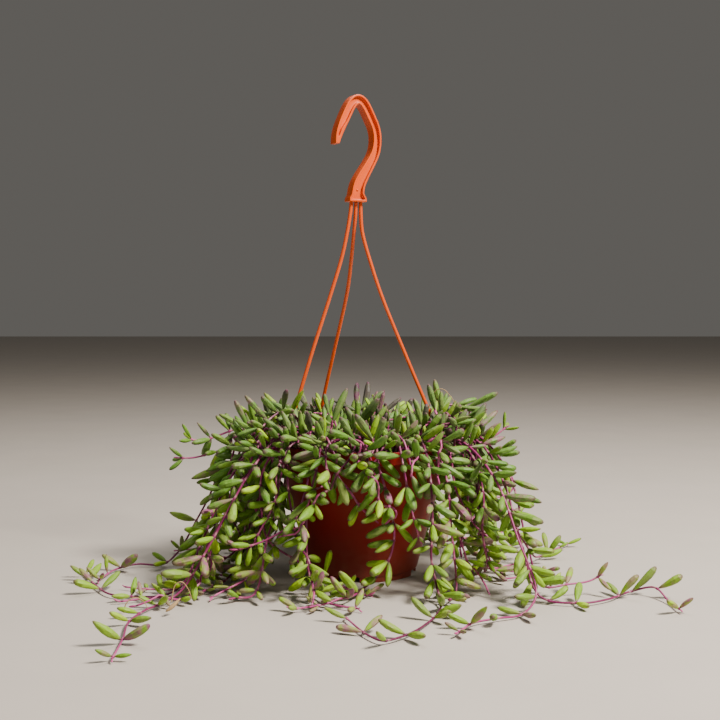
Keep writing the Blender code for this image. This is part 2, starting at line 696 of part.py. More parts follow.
def try_leaf(stem, mark, normal, size, room, rng, at_tip):
    """A leaf clear of everything near it, or None."""
    place, tangent, _ = stem.at(mark)
    start = place + normal * stem.radius * LEAF_ROOT_SHARE
    length = size * rng.uniform(*LEAF_LENGTH)
    half = length * LEAF_SLENDER * rng.uniform(0.92, 1.12)
    step = int(mark / PATH_STEP)
    ahead = unit(stem.path[step + 2] - stem.path[step])
    behind = unit(stem.path[step - 2] - stem.path[step])
    most_ahead = MOST_AHEAD_AT_TIP if at_tip else MOST_AHEAD
    for _ in range(LEAF_TRIES):
        direction = leaf_wish(place, tangent, normal, rng)
        bow = (rng.uniform(-1, 1), rng.uniform(-1, 1), rng.uniform(-0.4, 1.3))
        bend = LEAF_BEND * np.array(bow)
        if direction.dot(normal) < LEAST_OUTWARD:
            continue
        if direction.dot(ahead) > most_ahead or direction.dot(behind) > MOST_BEHIND:
            continue
        leaf = Leaf(start, direction, length, half, bend)
        centres, radii = leaf.balls()
        if (centres[:, 2] - radii).min() < TABLE_GAP:
            continue
        if (pot_distance(centres)[0] - radii).min() < CLEARANCE:
            continue
        if room.gap(centres[2:], radii[2:]) < CLEARANCE:
            continue
        if room.gap(centres[:2], radii[:2], stem.owner) < CLEARANCE:
            continue
        return leaf
    return None


def face_normal(stem, mark, turn, face):
    """Direction that a side face of the stem looks in."""
    _, tangent, side = stem.at(mark)
    angle = turn + (face + 0.5) * 2 * math.pi / stem.count
    return math.cos(angle) * side + math.sin(angle) * np.cross(tangent, side)


def node_turn(stem, mark, turn, rng):
    """Turn of the stem's ring at a plant node; on the table one face looks down."""
    place, tangent, side = stem.at(mark)
    if place[2] > LOW_LEVEL:
        return turn + rng.uniform(0.35, 1.05)
    step = 2 * math.pi / stem.count
    wanted = math.atan2(-np.cross(tangent, side)[2], -side[2]) - step / 2
    return wanted + step * round((turn - wanted) / step)


def leaf_out(stem, room, rng):
    """Plant nodes along a stem, with leaves where there is room."""
    turn = rng.uniform(0, 2)
    for step in stem.steps:
        mark = step * PATH_STEP
        leaves = {}
        faces = list(range(stem.count))
        rng.shuffle(faces)
        turn_here = node_turn(stem, mark, turn, rng)
        size = min(1.0, YOUNG_SIZE + (stem.length() - mark) / YOUNG_REACH)
        for face in faces[:rng.choice(LEAVES_AT_NODE)]:
            normal = face_normal(stem, mark, turn_here, face)
            leaf = try_leaf(stem, mark, normal, size, room, rng, step == stem.steps[-1])
            if leaf:
                leaves[face] = leaf
                room.take(*leaf.balls(), stem.owner)
        if leaves:
            stem.nodes.append((mark, turn_here, leaves))
            turn = turn_here


def stem_mesh(stem, finish):
    """One closed mesh: the stem's tube with every leaf drawn out of a side face."""
    bm = bmesh.new()
    turn_marks = [0.0] + [mark for mark, _, _ in stem.nodes]
    turns = [stem.nodes[0][1]] + [turn for _, turn, _ in stem.nodes]
    marks = []
    for corner in stem.corners[:-1]:
        mark = corner * PATH_STEP
        if all(abs(mark - taken) > NODE_LENGTH for taken in turn_marks[1:]):
            marks.append((mark, np.interp(mark, turn_marks, turns), None))
    for mark, turn, leaves in stem.nodes:
        marks.append((mark - NODE_LENGTH / 2, turn, leaves))
        marks.append((mark + NODE_LENGTH / 2, turn, None))
    marks.sort(key=lambda entry: entry[0])
    loops = []
    for mark, turn, _ in marks:
        place, tangent, side = stem.at(mark)
        points = ring_points(place, tangent, side, stem.radius, stem.count, turn)
        loops.append([bm.verts.new(Vector(point) * MM) for point in points])
    for (_, _, leaves), low, high in zip(marks, loops, loops[1:]):
        for i in range(stem.count):
            j = (i + 1) % stem.count
            quad = (low[i], low[j], high[j], high[i])
            if leaves and i in leaves:
                draw_leaf(bm, quad, leaves[i])
            else:
                bm.faces.new(quad)
    bm.faces.new(reversed(loops[0]))
    tip = bm.verts.new(Vector(stem.path[-1]) * MM)
    for i in range(stem.count):
        bm.faces.new((loops[-1][i], loops[-1][(i + 1) % stem.count], tip))
    add_object(stem.name, bm, finish).data.shade_smooth()


def draw_leaf(bm, quad, leaf):
    """Four-sided spindle drawn out of a face in rings to its tip."""
    loop = list(quad)
    for share, size in LEAF_RINGS:
        axis = unit(leaf.centre(share + 0.05) - leaf.centre(share - 0.05))
        first = unit(np.cross(axis, (0.3, 0.2, 0.93)))
        second = np.cross(axis, first)
        middle = sum((np.array(v.co) for v in loop), np.zeros(3)) / 4
        turns = []
        for j, vert in enumerate(loop):
            arm = np.array(vert.co) - middle
            turns.append(math.atan2(arm.dot(second), arm.dot(first)) - j * math.pi / 2)
        turn = math.atan2(sum(map(math.sin, turns)), sum(map(math.cos, turns)))
        ring = ring_points(leaf.centre(share), axis, first, size * leaf.half, 4, turn)
        new = [bm.verts.new(Vector(point) * MM) for point in ring]
        for i in range(4):
            j = (i + 1) % 4
            bm.faces.new((loop[i], loop[j], new[j], new[i]))
        loop = new
    tip = bm.verts.new(Vector(leaf.centre(1.0)) * MM)
    for i in range(4):
        bm.faces.new((loop[i], loop[(i + 1) % 4], tip))


def free_root(x, y, roots):
    """Nearest place in the soil that is clear of the roots already set."""
    for k in range(ROOT_TRIES):
        angle = k * GOLDEN_ANGLE
        reach = 0.45 * math.sqrt(k)
        place = np.array((x + reach * math.cos(angle), y + reach * math.sin(angle)))
        if np.hypot(*place) > ROOT_REACH:
            continue
        if all(np.hypot(*(place - root)) > ROOT_GAP for root in roots):
            return place
    return np.array((x, y))


def from_soil(root, points):
    """Points of a route with its straight start in the soil and its way over the rim."""
    start = SOIL_TOP - HOLE_DEPTH + ROOT_LIFT
    first = [(root[0], root[1], start), (root[0], root[1], SOIL_TOP + ROOT_RISE)]
    out = np.array(points[0][:2])
    if np.hypot(*out) > CREST_RADIUS + CREST_MARGIN:
        low, high = 0.0, 1.0
        for _ in range(20):
            middle = (low + high) / 2
            if np.hypot(*(root + middle * (out - root))) < CREST_RADIUS:
                low = middle
            else:
                high = middle
        crest = root + low * (out - root)
        first.append((crest[0], crest[1], max(CREST_HEIGHT, points[0][2])))
    return first + [tuple(point) for point in points]


def ruled_route(azimuth, table, rng):
    """Up out of the soil, over the rim, down beside the pot and out along the table."""
    angle = math.radians(azimuth + rng.uniform(-4, 4))

    def place(radius, height, drift=0.0):
        turn = angle + drift
        return (radius * math.cos(turn), radius * math.sin(turn), height)

    sway = rng.uniform(-0.12, 0.12)
    root = place(rng.uniform(36, 58), 0.0, rng.uniform(-0.15, 0.15))[:2]
    route = [place(rng.uniform(74, 80), rng.uniform(115, 122), sway / 3),
             place(rng.uniform(90, 98), rng.uniform(92, 101), sway / 2)]
    middle = rng.uniform(98, 116)
    route.append(place(middle, rng.uniform(46, 66), sway))
    landing = middle + rng.uniform(10, 22)
    route.append(place(landing, 6.0, sway * 1.5))
    curl = rng.uniform(-0.22, 0.22)
    pieces = max(1, round(table / 26))
    for k in range(1, pieces + 1):
        route.append(place(landing + table * k / pieces, STEM_TABLE, sway * 1.5 + curl * k))
    return root, route


def crown_route(index, rng):
    """Short shoot that leans out of the middle of the pot."""
    angle = index * GOLDEN_ANGLE + 0.4
    radius = CROWN_RADIUS * math.sqrt((index + 0.4) / CROWN_SHOOTS)
    height = rng.uniform(122, 133) - 0.13 * radius

    def place(grown, z, drift=0.0):
        return (grown * math.cos(angle + drift), grown * math.sin(angle + drift), z)

    drift = rng.uniform(-0.3, 0.3)
    return place(radius, 0)[:2], [place(radius + 3, 112, drift / 2),
                                  place(radius + 10, height, drift),
                                  place(radius + 22, height + rng.uniform(-2, 7), drift * 1.6)]


def plan_plant(room, rng):
    """Routes of all stems, settled clear of each other, and then their leaves."""
    roots = []
    stems = []
    routes = [(name, points[0], points[1:]) for name, points in TRAILS.items()]
    for k, (azimuth, table) in enumerate(RULE_TRAILS):
        root, route = ruled_route(azimuth, table, rng)
        routes.append((f"stem_trail_{k + 1:02d}", root, route))
    for k in range(CROWN_SHOOTS):
        root, route = crown_route(k, rng)
        routes.append((f"stem_crown_{k + 1:02d}", root, route))
    for owner, (name, root, route) in enumerate(routes):
        root = free_root(root[0], root[1], roots)
        roots.append(root)
        path = settle(curve_through(from_soil(root, route), PATH_STEP), room)
        stem = Stem(name, path, owner, leaf_steps(path, rng))
        stems.append(stem)
        room.take(stem.path[HELD_STEPS:], STEM_RADIUS, owner)
    for stem in stems:
        leaf_out(stem, room, rng)
    return stems, roots


def build():
    """Make every solid of the part."""
    for old in list(bpy.data.objects):
        bpy.data.objects.remove(old, do_unlink=True)
    pot_plastic = material("pot_plastic", (0.21, 0.035, 0.014), 0.42)
    hanger_plastic = material("hanger_plastic", (0.78, 0.16, 0.045), 0.38)
    soil_mix = material("soil_mix", (0.03, 0.018, 0.011), 0.95)
    foliage = material("foliage", (0.16, 0.3, 0.07), 0.45)

    make_pot(pot_plastic)
    make_hook(hanger_plastic)
    room = Room()
    for index, (name, (azimuth, points)) in enumerate(STRANDS.items()):
        path = make_strand(name, azimuth, points, hanger_plastic)
        outward = unit(path[-1] * (1, 1, 0))
        button = (RIM_RADIUS + BUTTON_LENGTH * 0.75) * outward + HANGER_HOLE_HEIGHT * UP
        room.take(path[::2], STRAND_RADIUS + STRAND_MARGIN, FIRST_STRAND_OWNER - index)
        room.take(button[None], BUTTON_RADIUS + STRAND_MARGIN, FIRST_STRAND_OWNER - index)
    stems, roots = plan_plant(room, random.Random(SEED))
    make_soil(soil_mix, roots)
    for stem in stems:
        stem_mesh(stem, foliage)


build()
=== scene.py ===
"""Looks of a trailing succulent in a moulded hanging pot, with its hook and hanger strands.

Sizes below are in millimetres unless a name ends in _M, and azimuths and turns in degrees. The
origin is on the pot's axis at floor level, +Z is up and the plant is seen from -Y. Stems and
the first leaves follow the routes and the seeded rule of the solids, and the leaves between
them and the added shoots are of the scene alone.
"""

import math
import random

import bpy
import numpy as np
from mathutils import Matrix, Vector, noise
from mathutils.kdtree import KDTree


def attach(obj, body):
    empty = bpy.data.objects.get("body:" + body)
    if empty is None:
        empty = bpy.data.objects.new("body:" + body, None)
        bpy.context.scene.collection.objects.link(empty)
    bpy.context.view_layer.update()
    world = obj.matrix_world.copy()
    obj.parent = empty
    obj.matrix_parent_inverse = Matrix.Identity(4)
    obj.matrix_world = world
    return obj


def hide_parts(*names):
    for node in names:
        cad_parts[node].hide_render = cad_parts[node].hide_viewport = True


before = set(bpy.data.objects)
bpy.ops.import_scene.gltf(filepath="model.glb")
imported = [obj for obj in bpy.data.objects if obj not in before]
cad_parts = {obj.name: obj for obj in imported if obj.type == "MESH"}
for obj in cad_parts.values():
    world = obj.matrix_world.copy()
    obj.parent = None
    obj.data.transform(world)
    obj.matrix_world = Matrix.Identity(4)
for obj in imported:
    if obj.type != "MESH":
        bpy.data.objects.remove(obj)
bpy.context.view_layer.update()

MM = 0.001
UP = np.array((0.0, 0.0, 1.0))

# Points that a curve is worked out at between two of its given points
CURVE_SAMPLES = 16

# Camera, fitted to the ellipses of the rim and the foot
CAMERA_PLACE_M = (-0.0025, -1.0, 0.2325)
CAMERA_TILT = 3.04
CAMERA_LENS = 59.3
CAMERA_SENSOR = 36.0

# Studio: the floor's side, the colour and strength of the air, and each softbox with its place,
# side, power and colour, all of them aimed at the plant
FLOOR_SIDE_M = 12.0
STUDIO_AIR = ("d9d4cc", 0.17)
SOFTBOX_AIM_M = (0.0, 0.0, 0.12)
SOFTBOXES_M = {
    "key_softbox": ((0.95, -0.68, 1.42), 0.4, 92.0, "fff6ec"),
    "fill_softbox": ((-1.3, -0.9, 0.7), 1.2, 3.5, "eef2ff"),
    "top_softbox": ((-0.1, 0.5, 1.4), 0.9, 11.0, "fffaf2"),
}

# Pot: outer radii and heights of a 150 mm hanging pot. Inside, the wall steps out into the band
# between BAND_STEP above and below the band's bottom.
RIM_RADIUS = 75.0
POT_HEIGHT = 110.0
BAND_HEIGHT = 11.5
SHOULDER_RADIUS = 71.5
LEDGE_RADIUS = 46.0
FOOT_RADIUS = 45.0
FOOT_HEIGHT = 5.0
FOOT_WALL = 2.2
RIM_WALL = 2.2
WALL = 1.7
BAND_BOTTOM = POT_HEIGHT - BAND_HEIGHT
BAND_INSIDE = RIM_RADIUS - RIM_WALL
BAND_TAPER = 0.5
BAND_CHAMFER = 1.2
BAND_STEP = (2.6, 0.6)
LEDGE_CHAMFER = 0.7
POT_STEPS = 120
POT_ROUNDING = 0.4
ROUNDING_STEPS = 3
ROUND_SIDES = 32

# Foot notches, drain holes and hanger holes, each set evenly round the pot
NOTCH_COUNT = 4
NOTCH_AZIMUTH = -105.4
NOTCH_WIDTH = 18.5
NOTCH_HEIGHT = 4.4
DRAIN_COUNT = 4
DRAIN_RADIUS = 4.0
DRAIN_CIRCLE = 26.0
HANGER_HOLES = 6
HANGER_HOLE_AZIMUTH = 5.0
HANGER_HOLE = 4.4
HANGER_HOLE_HEIGHT = 104.6
CUTTER_DEPTH = 8.0

# Soil: a lumpy plug with loose crumbs on it, and where and how deep the stems stand in it
SOIL_GAP = 0.35
SOIL_TOP = 98.0
SOIL_EDGE = 1.5
SOIL_RINGS = 26
SOIL_STEPS = 96
SOIL_RELIEF = 2.2
SOIL_SINK = 0.6
LUMP_SIZE = 9
FINE_LUMP_SIZE = 3.5
FINE_LUMP_SHARE = 0.6
HOLE_DEPTH = 8.0
ROOT_LIFT = 0.5
ROOT_RISE = 1.5
ROOT_GAP = 5.5
ROOT_REACH = 63.0
ROOT_TRIES = 400
ROOT_SPIRAL = 0.45
CRUMBS = 420
CRUMB_SIZE = (0.8, 2.6)
CRUMB_SQUASH = ((0.5, 1.0), (0.4, 0.8))
CRUMB_MARGIN = 3
CRUMB_SINK = 0.3

# What is solid below the plant, as (radius, height) from the floor up and over to the axis
POT_OUTLINE = np.array([
    (0.0, 0.0), (FOOT_RADIUS, 0.0), (LEDGE_RADIUS, FOOT_HEIGHT),
    (SHOULDER_RADIUS, BAND_BOTTOM), (RIM_RADIUS, BAND_BOTTOM + 1.0),
    (RIM_RADIUS, POT_HEIGHT), (BAND_INSIDE, POT_HEIGHT),
    (BAND_INSIDE, BAND_BOTTOM + 1.0), (SHOULDER_RADIUS - WALL, SOIL_TOP), (0.0, SOIL_TOP)])

# Hook: centre line on its own flat side, as (across, height, half width), and the gate mark on
# that side, as (across, height, radius)
HOOK_TURN = 28.0
HOOK_THICKNESS = 10.0
HOOK_RIB = 1.6
HOOK_RECESS = 2.6
HOOK_ROWS = 84
HOOK_ROUNDING = 0.4
HOOK_SMOOTHING = 8
PARTING_WIDTH = 0.5
PARTING_RISE = 0.15
GROOVE_POINT = 8
GROOVE_LEAST = 0.4
HOOK_LINE = [
    (-26.2, 358.8, 1.7), (-25.1, 365.0, 2.7), (-22.2, 373.0, 3.5), (-17.3, 383.0, 3.9),
    (-12.4, 392.4, 3.9), (-6.2, 397.5, 3.9), (-0.2, 392.8, 3.8), (5.4, 383.0, 3.7),
    (10.2, 373.5, 3.6), (11.5, 364.5, 3.6), (9.9, 353.5, 3.8), (4.5, 343.3, 4.2),
    (-1.6, 333.5, 4.8), (-6.1, 325.2, 5.3), (-7.0, 319.3, 5.6),
]
HOOK_FLARE = [(-6.97, 317.2, 6.2), (-6.95, 315.4, 7.5), (-6.95, 313.6, 8.0), (-6.95, 311.8, 7.9)]
HOOK_FOOT_BOTTOM = 311.8
GROOVE_START = 5
GROOVE_END = 2
GATE_MARK = (-6.6, 321.5, 0.9)

# Hanger strands, each from the hook's foot to its hole in the rim band, where its peg follows
# points so far inside the band and above the hole
STRAND_RADIUS = 1.55
STRAND_RESOLUTION = 4
STRAND_TOP = HOOK_FOOT_BOTTOM - 0.3
STRAND_MARGIN = 0.6
FIRST_STRAND_OWNER = -10
BUTTON_RADIUS = 2.9
BUTTON_LENGTH = 1.6
BUTTON_ROUNDING = 0.5
PEG_POINTS = ((4.6, 4.5), (2.9, 0.8), (0.6, 0.0))
STRANDS = {
    "hanger_strand_left": (185.0, [
        (-9.7, -5.2, STRAND_TOP), (-11.0, -5.2, 300.0), (-16.8, -4.8, 269.6),
        (-26.7, -5.2, 236.0), (-41.5, -5.6, 190.0), (-57.5, -6.0, 138.0)]),
    "hanger_strand_back": (125.0, [
        (-5.9, -3.1, STRAND_TOP), (-6.5, -1.0, 300.0), (-9.5, 9.4, 268.5),
        (-13.3, 18.5, 238.0), (-25.8, 34.4, 182.5), (-36.1, 47.2, 136.0)]),
    "hanger_strand_right": (5.0, [
        (-2.1, -1.1, STRAND_TOP), (-1.8, -0.8, 300.0), (-0.7, 0.5, 287.0),
        (7.4, 1.5, 258.0), (16.6, 2.5, 231.0), (35.2, 4.0, 185.5), (53.7, 5.0, 141.5)]),
}

# Stems and leaves of the solids: how paths settle clear of each other, how leaves sit at a plant
# node and what pulls them in the crown, beside the pot and on the floor
PATH_STEP = 2.0
HELD_STEPS = 5
SETTLE_ROUNDS = 80
UNSMOOTHED_ROUNDS = 8
SETTLE_SHARE = 0.7
SETTLE_LEAN = 0.9
SETTLE_LIFT = 0.1
LIFT_LEVEL = 20.0
STEM_GAP = 2.8
POT_GAP = 1.6
STEM_RADIUS = 1.1
STEM_SIDES = 3
STEM_LYING = 3.0
FIRST_SIDE = (0.31, 0.95, 0.05)
FIRST_TURN = 2.0
NODE_TWIST = (0.35, 1.05)
LEAF_LENGTH = (17.0, 25.0)
LEAF_SLENDER = 0.165
LEAF_GIRTH = (0.92, 1.12)
LEAF_BALLS = ((0.18, 0.6), (0.33, 0.93), (0.49, 1.03), (0.65, 1.05), (0.8, 0.88), (0.93, 0.4))
LEAVES_AT_NODE = (2, 3, 3, 3)
LEAF_TRIES = 10
LEAF_BEND = 0.1
BOW_SPANS = ((-1, 1), (-1, 1), (-0.4, 1.3))
LEAF_ROOT_SHARE = 0.5
LEAST_OUTWARD = 0.42
MOST_AHEAD = 0.66
MOST_AHEAD_AT_TIP = 0.8
MOST_BEHIND = 0.4
AHEAD_PULL = 0.45
OUTWARD_PULL = 0.85
WILFULNESS = 0.45
CROWN_PULL = (0.2, 0.62)
SIDE_PULL = (0.4, -0.22)
FLOOR_PULL = (0.0, -0.05)
CROWN_LEVEL = 104.0
CROWN_EDGE = 104.0
LOW_LEVEL = 12.0
CROWN_SPACING = (21.0, 28.0)
TRAIL_SPACING = (38.0, 50.0)
YOUNG_SIZE = 0.64
YOUNG_REACH = 100.0
STRAY = 2.0
CLEARANCE = 0.4
FLOOR_GAP = 0.35
NEARBY = 40.0
SEED = 7

# Trails laid out one by one, each from its root in the soil to its tip
TRAILS = {
    "stem_front_left": [
        (-30, -50), (-33, -70, 118), (-35, -88, 104), (-43, -89, 71), (-44, -89, 42),
        (-43, -88, 22), (-38, -90, 7), (-26, -120, 3), (-3, -137, 3)],
    "stem_front_middle": [
        (8, -52), (10, -72, 119), (12, -88, 102), (20, -90, 74), (24, -89, 47),
        (19, -88, 27), (3, -86, 8), (-21, -128, 5), (-53, -138, 3)],
    "stem_front_crossing": [
        (-49, -34), (-63, -58, 118), (-79, -74, 95), (-79, -80, 60), (-74, -80, 42),
        (-50, -76, 24), (-26, -77, 10), (-6, -88, 4), (6, -96, 3)],
    "stem_front_right": [
        (38, -42), (46, -64, 119), (51, -90, 100), (53, -101, 60), (52, -102, 33),
        (56, -106, 12), (58, -126, 3), (42, -182, 3), (27, -207, 3), (13, -218, 3),
        (3, -205, 3), (-13, -160, 3)],
    "stem_right_front": [
        (54, -30), (80, -52, 116), (103, -88, 90), (117, -112, 50), (128, -132, 14),
        (116, -150, 3), (95, -163, 3), (78, -174, 3), (64, -200, 3)],
    "stem_right_long": [
        (60, -12), (92, -38, 116), (110, -74, 88), (122, -96, 42), (134, -112, 6),
        (163, -120, 3), (186, -109, 3), (210, -84, 3), (225, -92, 8), (231, -112, 3),
        (233, -140, 3)],
    "stem_right_raised": [
        (60, 4), (94, -18, 118), (117, -58, 90), (128, -84, 40), (138, -94, 10),
        (160, -90, 10), (176, -88, 12), (186, -87, 17)],
    "stem_right_back": [
        (54, 24), (84, 20, 118), (101, 16, 84), (106, 16, 61), (119, 16, 45),
        (136, 18, 26), (148, 23, 8), (157, 40, 3), (172, 64, 3), (192, 95, 3)],
    "stem_right_arch": [
        (40, -6), (56, -3, 125), (75, 0, 117), (89, 2, 111), (100, 3, 109), (111, 3, 114),
        (123, 4, 123)],
    "stem_right_loop": [
        (48, 9), (73, 11, 123), (91, 11, 113), (104, 11, 103), (117, 12, 92), (127, 14, 80),
        (130, 14, 70), (124, 12, 63), (110, 10, 60)],
    "stem_right_hanging": [
        (46, -22), (70, -40, 118), (88, -58, 104), (95, -70, 76), (94, -74, 48), (98, -80, 22)],
    "stem_left_arch": [
        (-46, 10), (-76, 15, 125), (-108, 20, 119), (-138, 20, 109), (-152, 20, 110)],
    "stem_left_long": [
        (-38, -14), (-58, -32, 119), (-86, -26, 106), (-113, -8, 93), (-124, 8, 80),
        (-133, 16, 60), (-145, 20, 38), (-160, 20, 12), (-172, 10, 3), (-194, 10, 3),
        (-208, -8, 3), (-215, -50, 3)],
    "stem_left_shoulder": [
        (-52, -2), (-80, 2, 116), (-104, 8, 108), (-126, 9, 100), (-146, 10, 95),
        (-158, 10, 95)],
    "stem_left_outer": [
        (-54, -20), (-82, -38, 117), (-106, -60, 88), (-126, -80, 42), (-140, -90, 10),
        (-154, -97, 3), (-174, -101, 3), (-194, -95, 3), (-212, -68, 3), (-232, -22, 3)],
    "stem_left_front": [
        (-42, -28), (-70, -56, 118), (-92, -80, 90), (-116, -98, 46), (-138, -108, 10),
        (-150, -118, 3), (-160, -140, 3), (-166, -173, 3), (-162, -214, 3), (-160, -258, 3)],
    "stem_left_inner": [
        (-56, 8), (-86, -6, 112), (-98, -14, 72), (-100, -22, 20), (-110, -44, 4),
        (-122, -78, 3), (-132, -96, 3)],
    "stem_left_short": [
        (-36, -42), (-56, -64, 116), (-67, -78, 98), (-69, -82, 73), (-84, -84, 44)],
    "stem_left_sweep": [
        (-20, -52), (-28, -72, 117), (-37, -86, 101), (-45, -95, 80), (-54, -97, 60),
        (-74, -95, 46), (-98, -92, 37)],
    "stem_front_short": [
        (23, -50), (27, -72, 119), (31, -88, 102), (36, -92, 74), (44, -93, 44)],
    "stem_back_long_left": [
        (-28, 46), (-42, 72, 119), (-62, 96, 88), (-78, 114, 40), (-92, 134, 6),
        (-118, 160, 3), (-126, 204, 3), (-146, 253, 3)],
    "stem_back_long_right": [
        (24, 50), (38, 74, 119), (56, 98, 88), (66, 118, 40), (80, 140, 6), (84, 176, 3),
        (112, 212, 3), (122, 255, 3)],
}

# Trails placed by a rule: azimuth, and length of the stretch that lies on the floor. The spans
# that their bends are drawn from are radii and heights, and the sways and drifts are radians.
RULE_TRAILS = [
    (-148, 14), (-134, 8), (-42, 12), (-22, 22), (-6, 40), (24, 52), (44, 34), (62, 70),
    (82, 40), (100, 64), (122, 40), (140, 56), (160, 44),
]
AZIMUTH_JITTER = 4
TRAIL_ROOT = (36, 58)
TRAIL_ROOT_DRIFT = 0.15
TRAIL_CREST = ((74, 80), (115, 122))
TRAIL_SHOULDER = ((90, 98), (92, 101))
TRAIL_HANG = ((98, 116), (46, 66))
TRAIL_LANDING = (10, 22)
TRAIL_LANDING_HEIGHT = 6.0
TRAIL_SWAY = 0.12
TRAIL_CURL = 0.22
TRAIL_RUN = 26

# Upright stems of the crown, with how far each leans out and drifts round at its three bends,
# and the crest that a stem passes on its way over the rim
CROWN_SHOOTS = 14
CROWN_RADIUS = 54.0
CROWN_TURN = 0.4
CROWN_ROOT_SHIFT = 0.4
CROWN_TOP = (122, 133)
CROWN_SLOPE = 0.13
CROWN_BASE = 112
CROWN_TIP_RISE = (-2, 7)
CROWN_DRIFT = 0.3
CROWN_BENDS = ((3, 0.5), (10, 1.0), (22, 1.6))
CREST_RADIUS = 69.0
CREST_HEIGHT = 117.0
CREST_MARGIN = 8.0
CREST_HALVINGS = 20
GOLDEN_ANGLE = math.radians(137.508)
FIRST_LEAF = 9

# Leaves that the scene adds: their spacing along a stem, how many stand together and their size
FILL_SEED = 23
CROWN_FILL = 8.5
CURTAIN_FILL = 15.5
FLOOR_FILL = 17.0
FAR_FILL = 26.0
FAR_REACH = 150.0
FILL_LEAVES = (2, 3, 3)
FAR_LEAVES = (1, 2)
FILL_SIZE = (0.94, 1.14)
FILL_JITTER = 0.15
FILL_TURN = 0.3
FAR_YOUNG = (0.45, 140.0)
LEAF_SLIM = 0.86
CROWN_SLIM = 0.72
CROWN_SLIM_LEVEL = SOIL_TOP + 20.0
LEVEL_GUIDE = (0.13, 0.21, 0.97)

# Habits of a leaf: its gap to other leaves, how often it is tried, how far it strays, droops,
# looks ahead and bows, and how far it spreads outwards in the crown
SOLID_HABIT = {"clearance": CLEARANCE, "tries": LEAF_TRIES, "wilful": WILFULNESS, "droop": 0.0,
               "ahead": MOST_AHEAD, "bow": LEAF_BEND, "spread": 0.0}
FILL_HABIT = {"clearance": -0.3, "tries": 14, "wilful": 0.6, "droop": 0.3,
              "ahead": 0.84, "bow": 0.17, "spread": 0.25}
SHOOT_HABIT = {"clearance": -0.9, "tries": 16, "wilful": 0.75, "droop": 0.35,
               "ahead": 0.8, "bow": 0.13, "spread": 0.4}
HANGING_HABIT = {"clearance": -0.5, "tries": 14, "wilful": 0.7, "droop": 0.5,
                 "ahead": 0.9, "bow": 0.2, "spread": 0.1}
BUD_LENGTH = (4.0, 8.0)
BUD_LEAN = (0.05, 0.35)
BUD_SLENDER = 0.15
BUD_BEND = 0.12

# Stretches with no added leaves, as shares of the stem's length
NOT_BARE = (1.0, 1.0)
BARE_SHARE = {"stem_left_long": (0.3, 0.72), "stem_left_outer": (0.5, 0.7),
              "stem_front_right": (0.5, 0.62), "stem_left_sweep": (0.3, 0.75),
              "stem_right_loop": (0.35, 0.97), "stem_right_arch": (0.45, 0.97),
              "stem_left_shoulder": (0.6, 0.97), "stem_right_front": (0.3, 0.5)}

# Way in which the added leaves of a stem lean, where the photo shows them all to one side
NO_LEAN = (0.0, 0.0, 0.0)
LEAF_LEAN = {"stem_front_middle": (-0.9, -0.1, 0.0), "front_twin": (-0.9, -0.1, 0.0)}

# Added stems laid out one by one: over the pot's front and on the floor to the left, where the
# photo shows them, and short ones over the rim's front
SHOWN_SHOOTS = {
    "front_twin": [
        (8, -50, 94), (9, -60, 112), (9, -75, 119), (10, -88, 106), (14, -92, 84), (20, -92, 60)],
    "front_slanting": [
        (-28, -46, 94), (-27, -60, 112), (-26, -76, 117), (-19, -88, 95), (-10, -88, 82),
        (-1, -88, 69), (10, -89, 60)],
    "front_thin": [
        (-22, -48, 94), (-23, -62, 112), (-26, -78, 116), (-29, -90, 99), (-39, -92, 77),
        (-50, -92, 58)],
    "front_leaning": [
        (-4, -50, 94), (-5, -62, 113), (-6, -77, 118), (-10, -89, 108), (-20, -93, 97),
        (-28, -95, 85), (-37, -97, 73), (-50, -98, 60), (-64, -97, 51)],
    "left_lying_near": [
        (-50, -26, 94), (-62, -36, 114), (-84, -48, 117), (-104, -64, 78), (-118, -84, 36),
        (-130, -104, 6), (-150, -124, 3), (-170, -130, 3)],
    "left_lying_far": [
        (-52, -10, 94), (-64, -20, 114), (-86, -34, 121), (-110, -52, 74), (-124, -76, 24),
        (-138, -92, 3), (-162, -104, 3), (-186, -112, 3)],
    "left_lying_back": [
        (-54, 4, 94), (-66, 2, 114), (-90, -12, 122), (-116, -36, 80), (-132, -58, 30),
        (-146, -70, 3), (-168, -78, 3), (-190, -70, 3)],
    "front_rim_left": [
        (2, -48, 94), (2, -60, 112), (3, -76, 119), (5, -87, 108), (6, -91, 97)],
    "front_rim_middle": [
        (22, -46, 94), (23, -58, 112), (26, -74, 119), (31, -84, 108), (34, -88, 96)],
    "front_rim_right": [
        (38, -40, 94), (40, -50, 112), (47, -66, 119), (54, -77, 107), (58, -82, 92)],
}

# Added shoots placed by a rule, and the spans that their bends are drawn from. Crown shoots
# stand all over the pot, lower where x is in the dip, and middle shoots hide the soil between
# them. Rim shoots hang short over the rim, cover shoots at its front, and hanging ones reach down.
# The bends of a rim shoot are its radii and shares of its drift. Those of a hanging one are its
# radii, its heights from the crest and shares of its wander.
SHOOT_START = SOIL_TOP - 4
SHOOT_BASE = 106
SHOOT_SIZE = (0.95, 1.36)
SHOOT_FIRST_OWNER = 200
ADDED_TURN = 1.9
ADDED_JITTER = 0.2
ADDED_DRIFT = 0.3
CROWN_SHOOTS_ADDED = 30
CROWN_SPREAD = (2, 62)
CROWN_ADDED_TOP = (130, 151)
CROWN_ADDED_SLOPE = 0.0026
CROWN_ADDED_LEAN = (5, 19)
CREST_DIP = (-16.0, 44.0, 7.0)
RIM_SHOOTS_ADDED = 26
RIM_END = ((88, 97), (82, 100))
RIM_START = (50, 60)
RIM_CREST = (117, 124)
RIM_SHOULDER = (110, 116)
RIM_BASE = 110
RIM_BENDS = ((62, 0.1), (73, 0.3), (85, 0.6))
MIDDLE_SEED = 31
MIDDLE_SHOOTS = 14
MIDDLE_RADIUS = 27.0
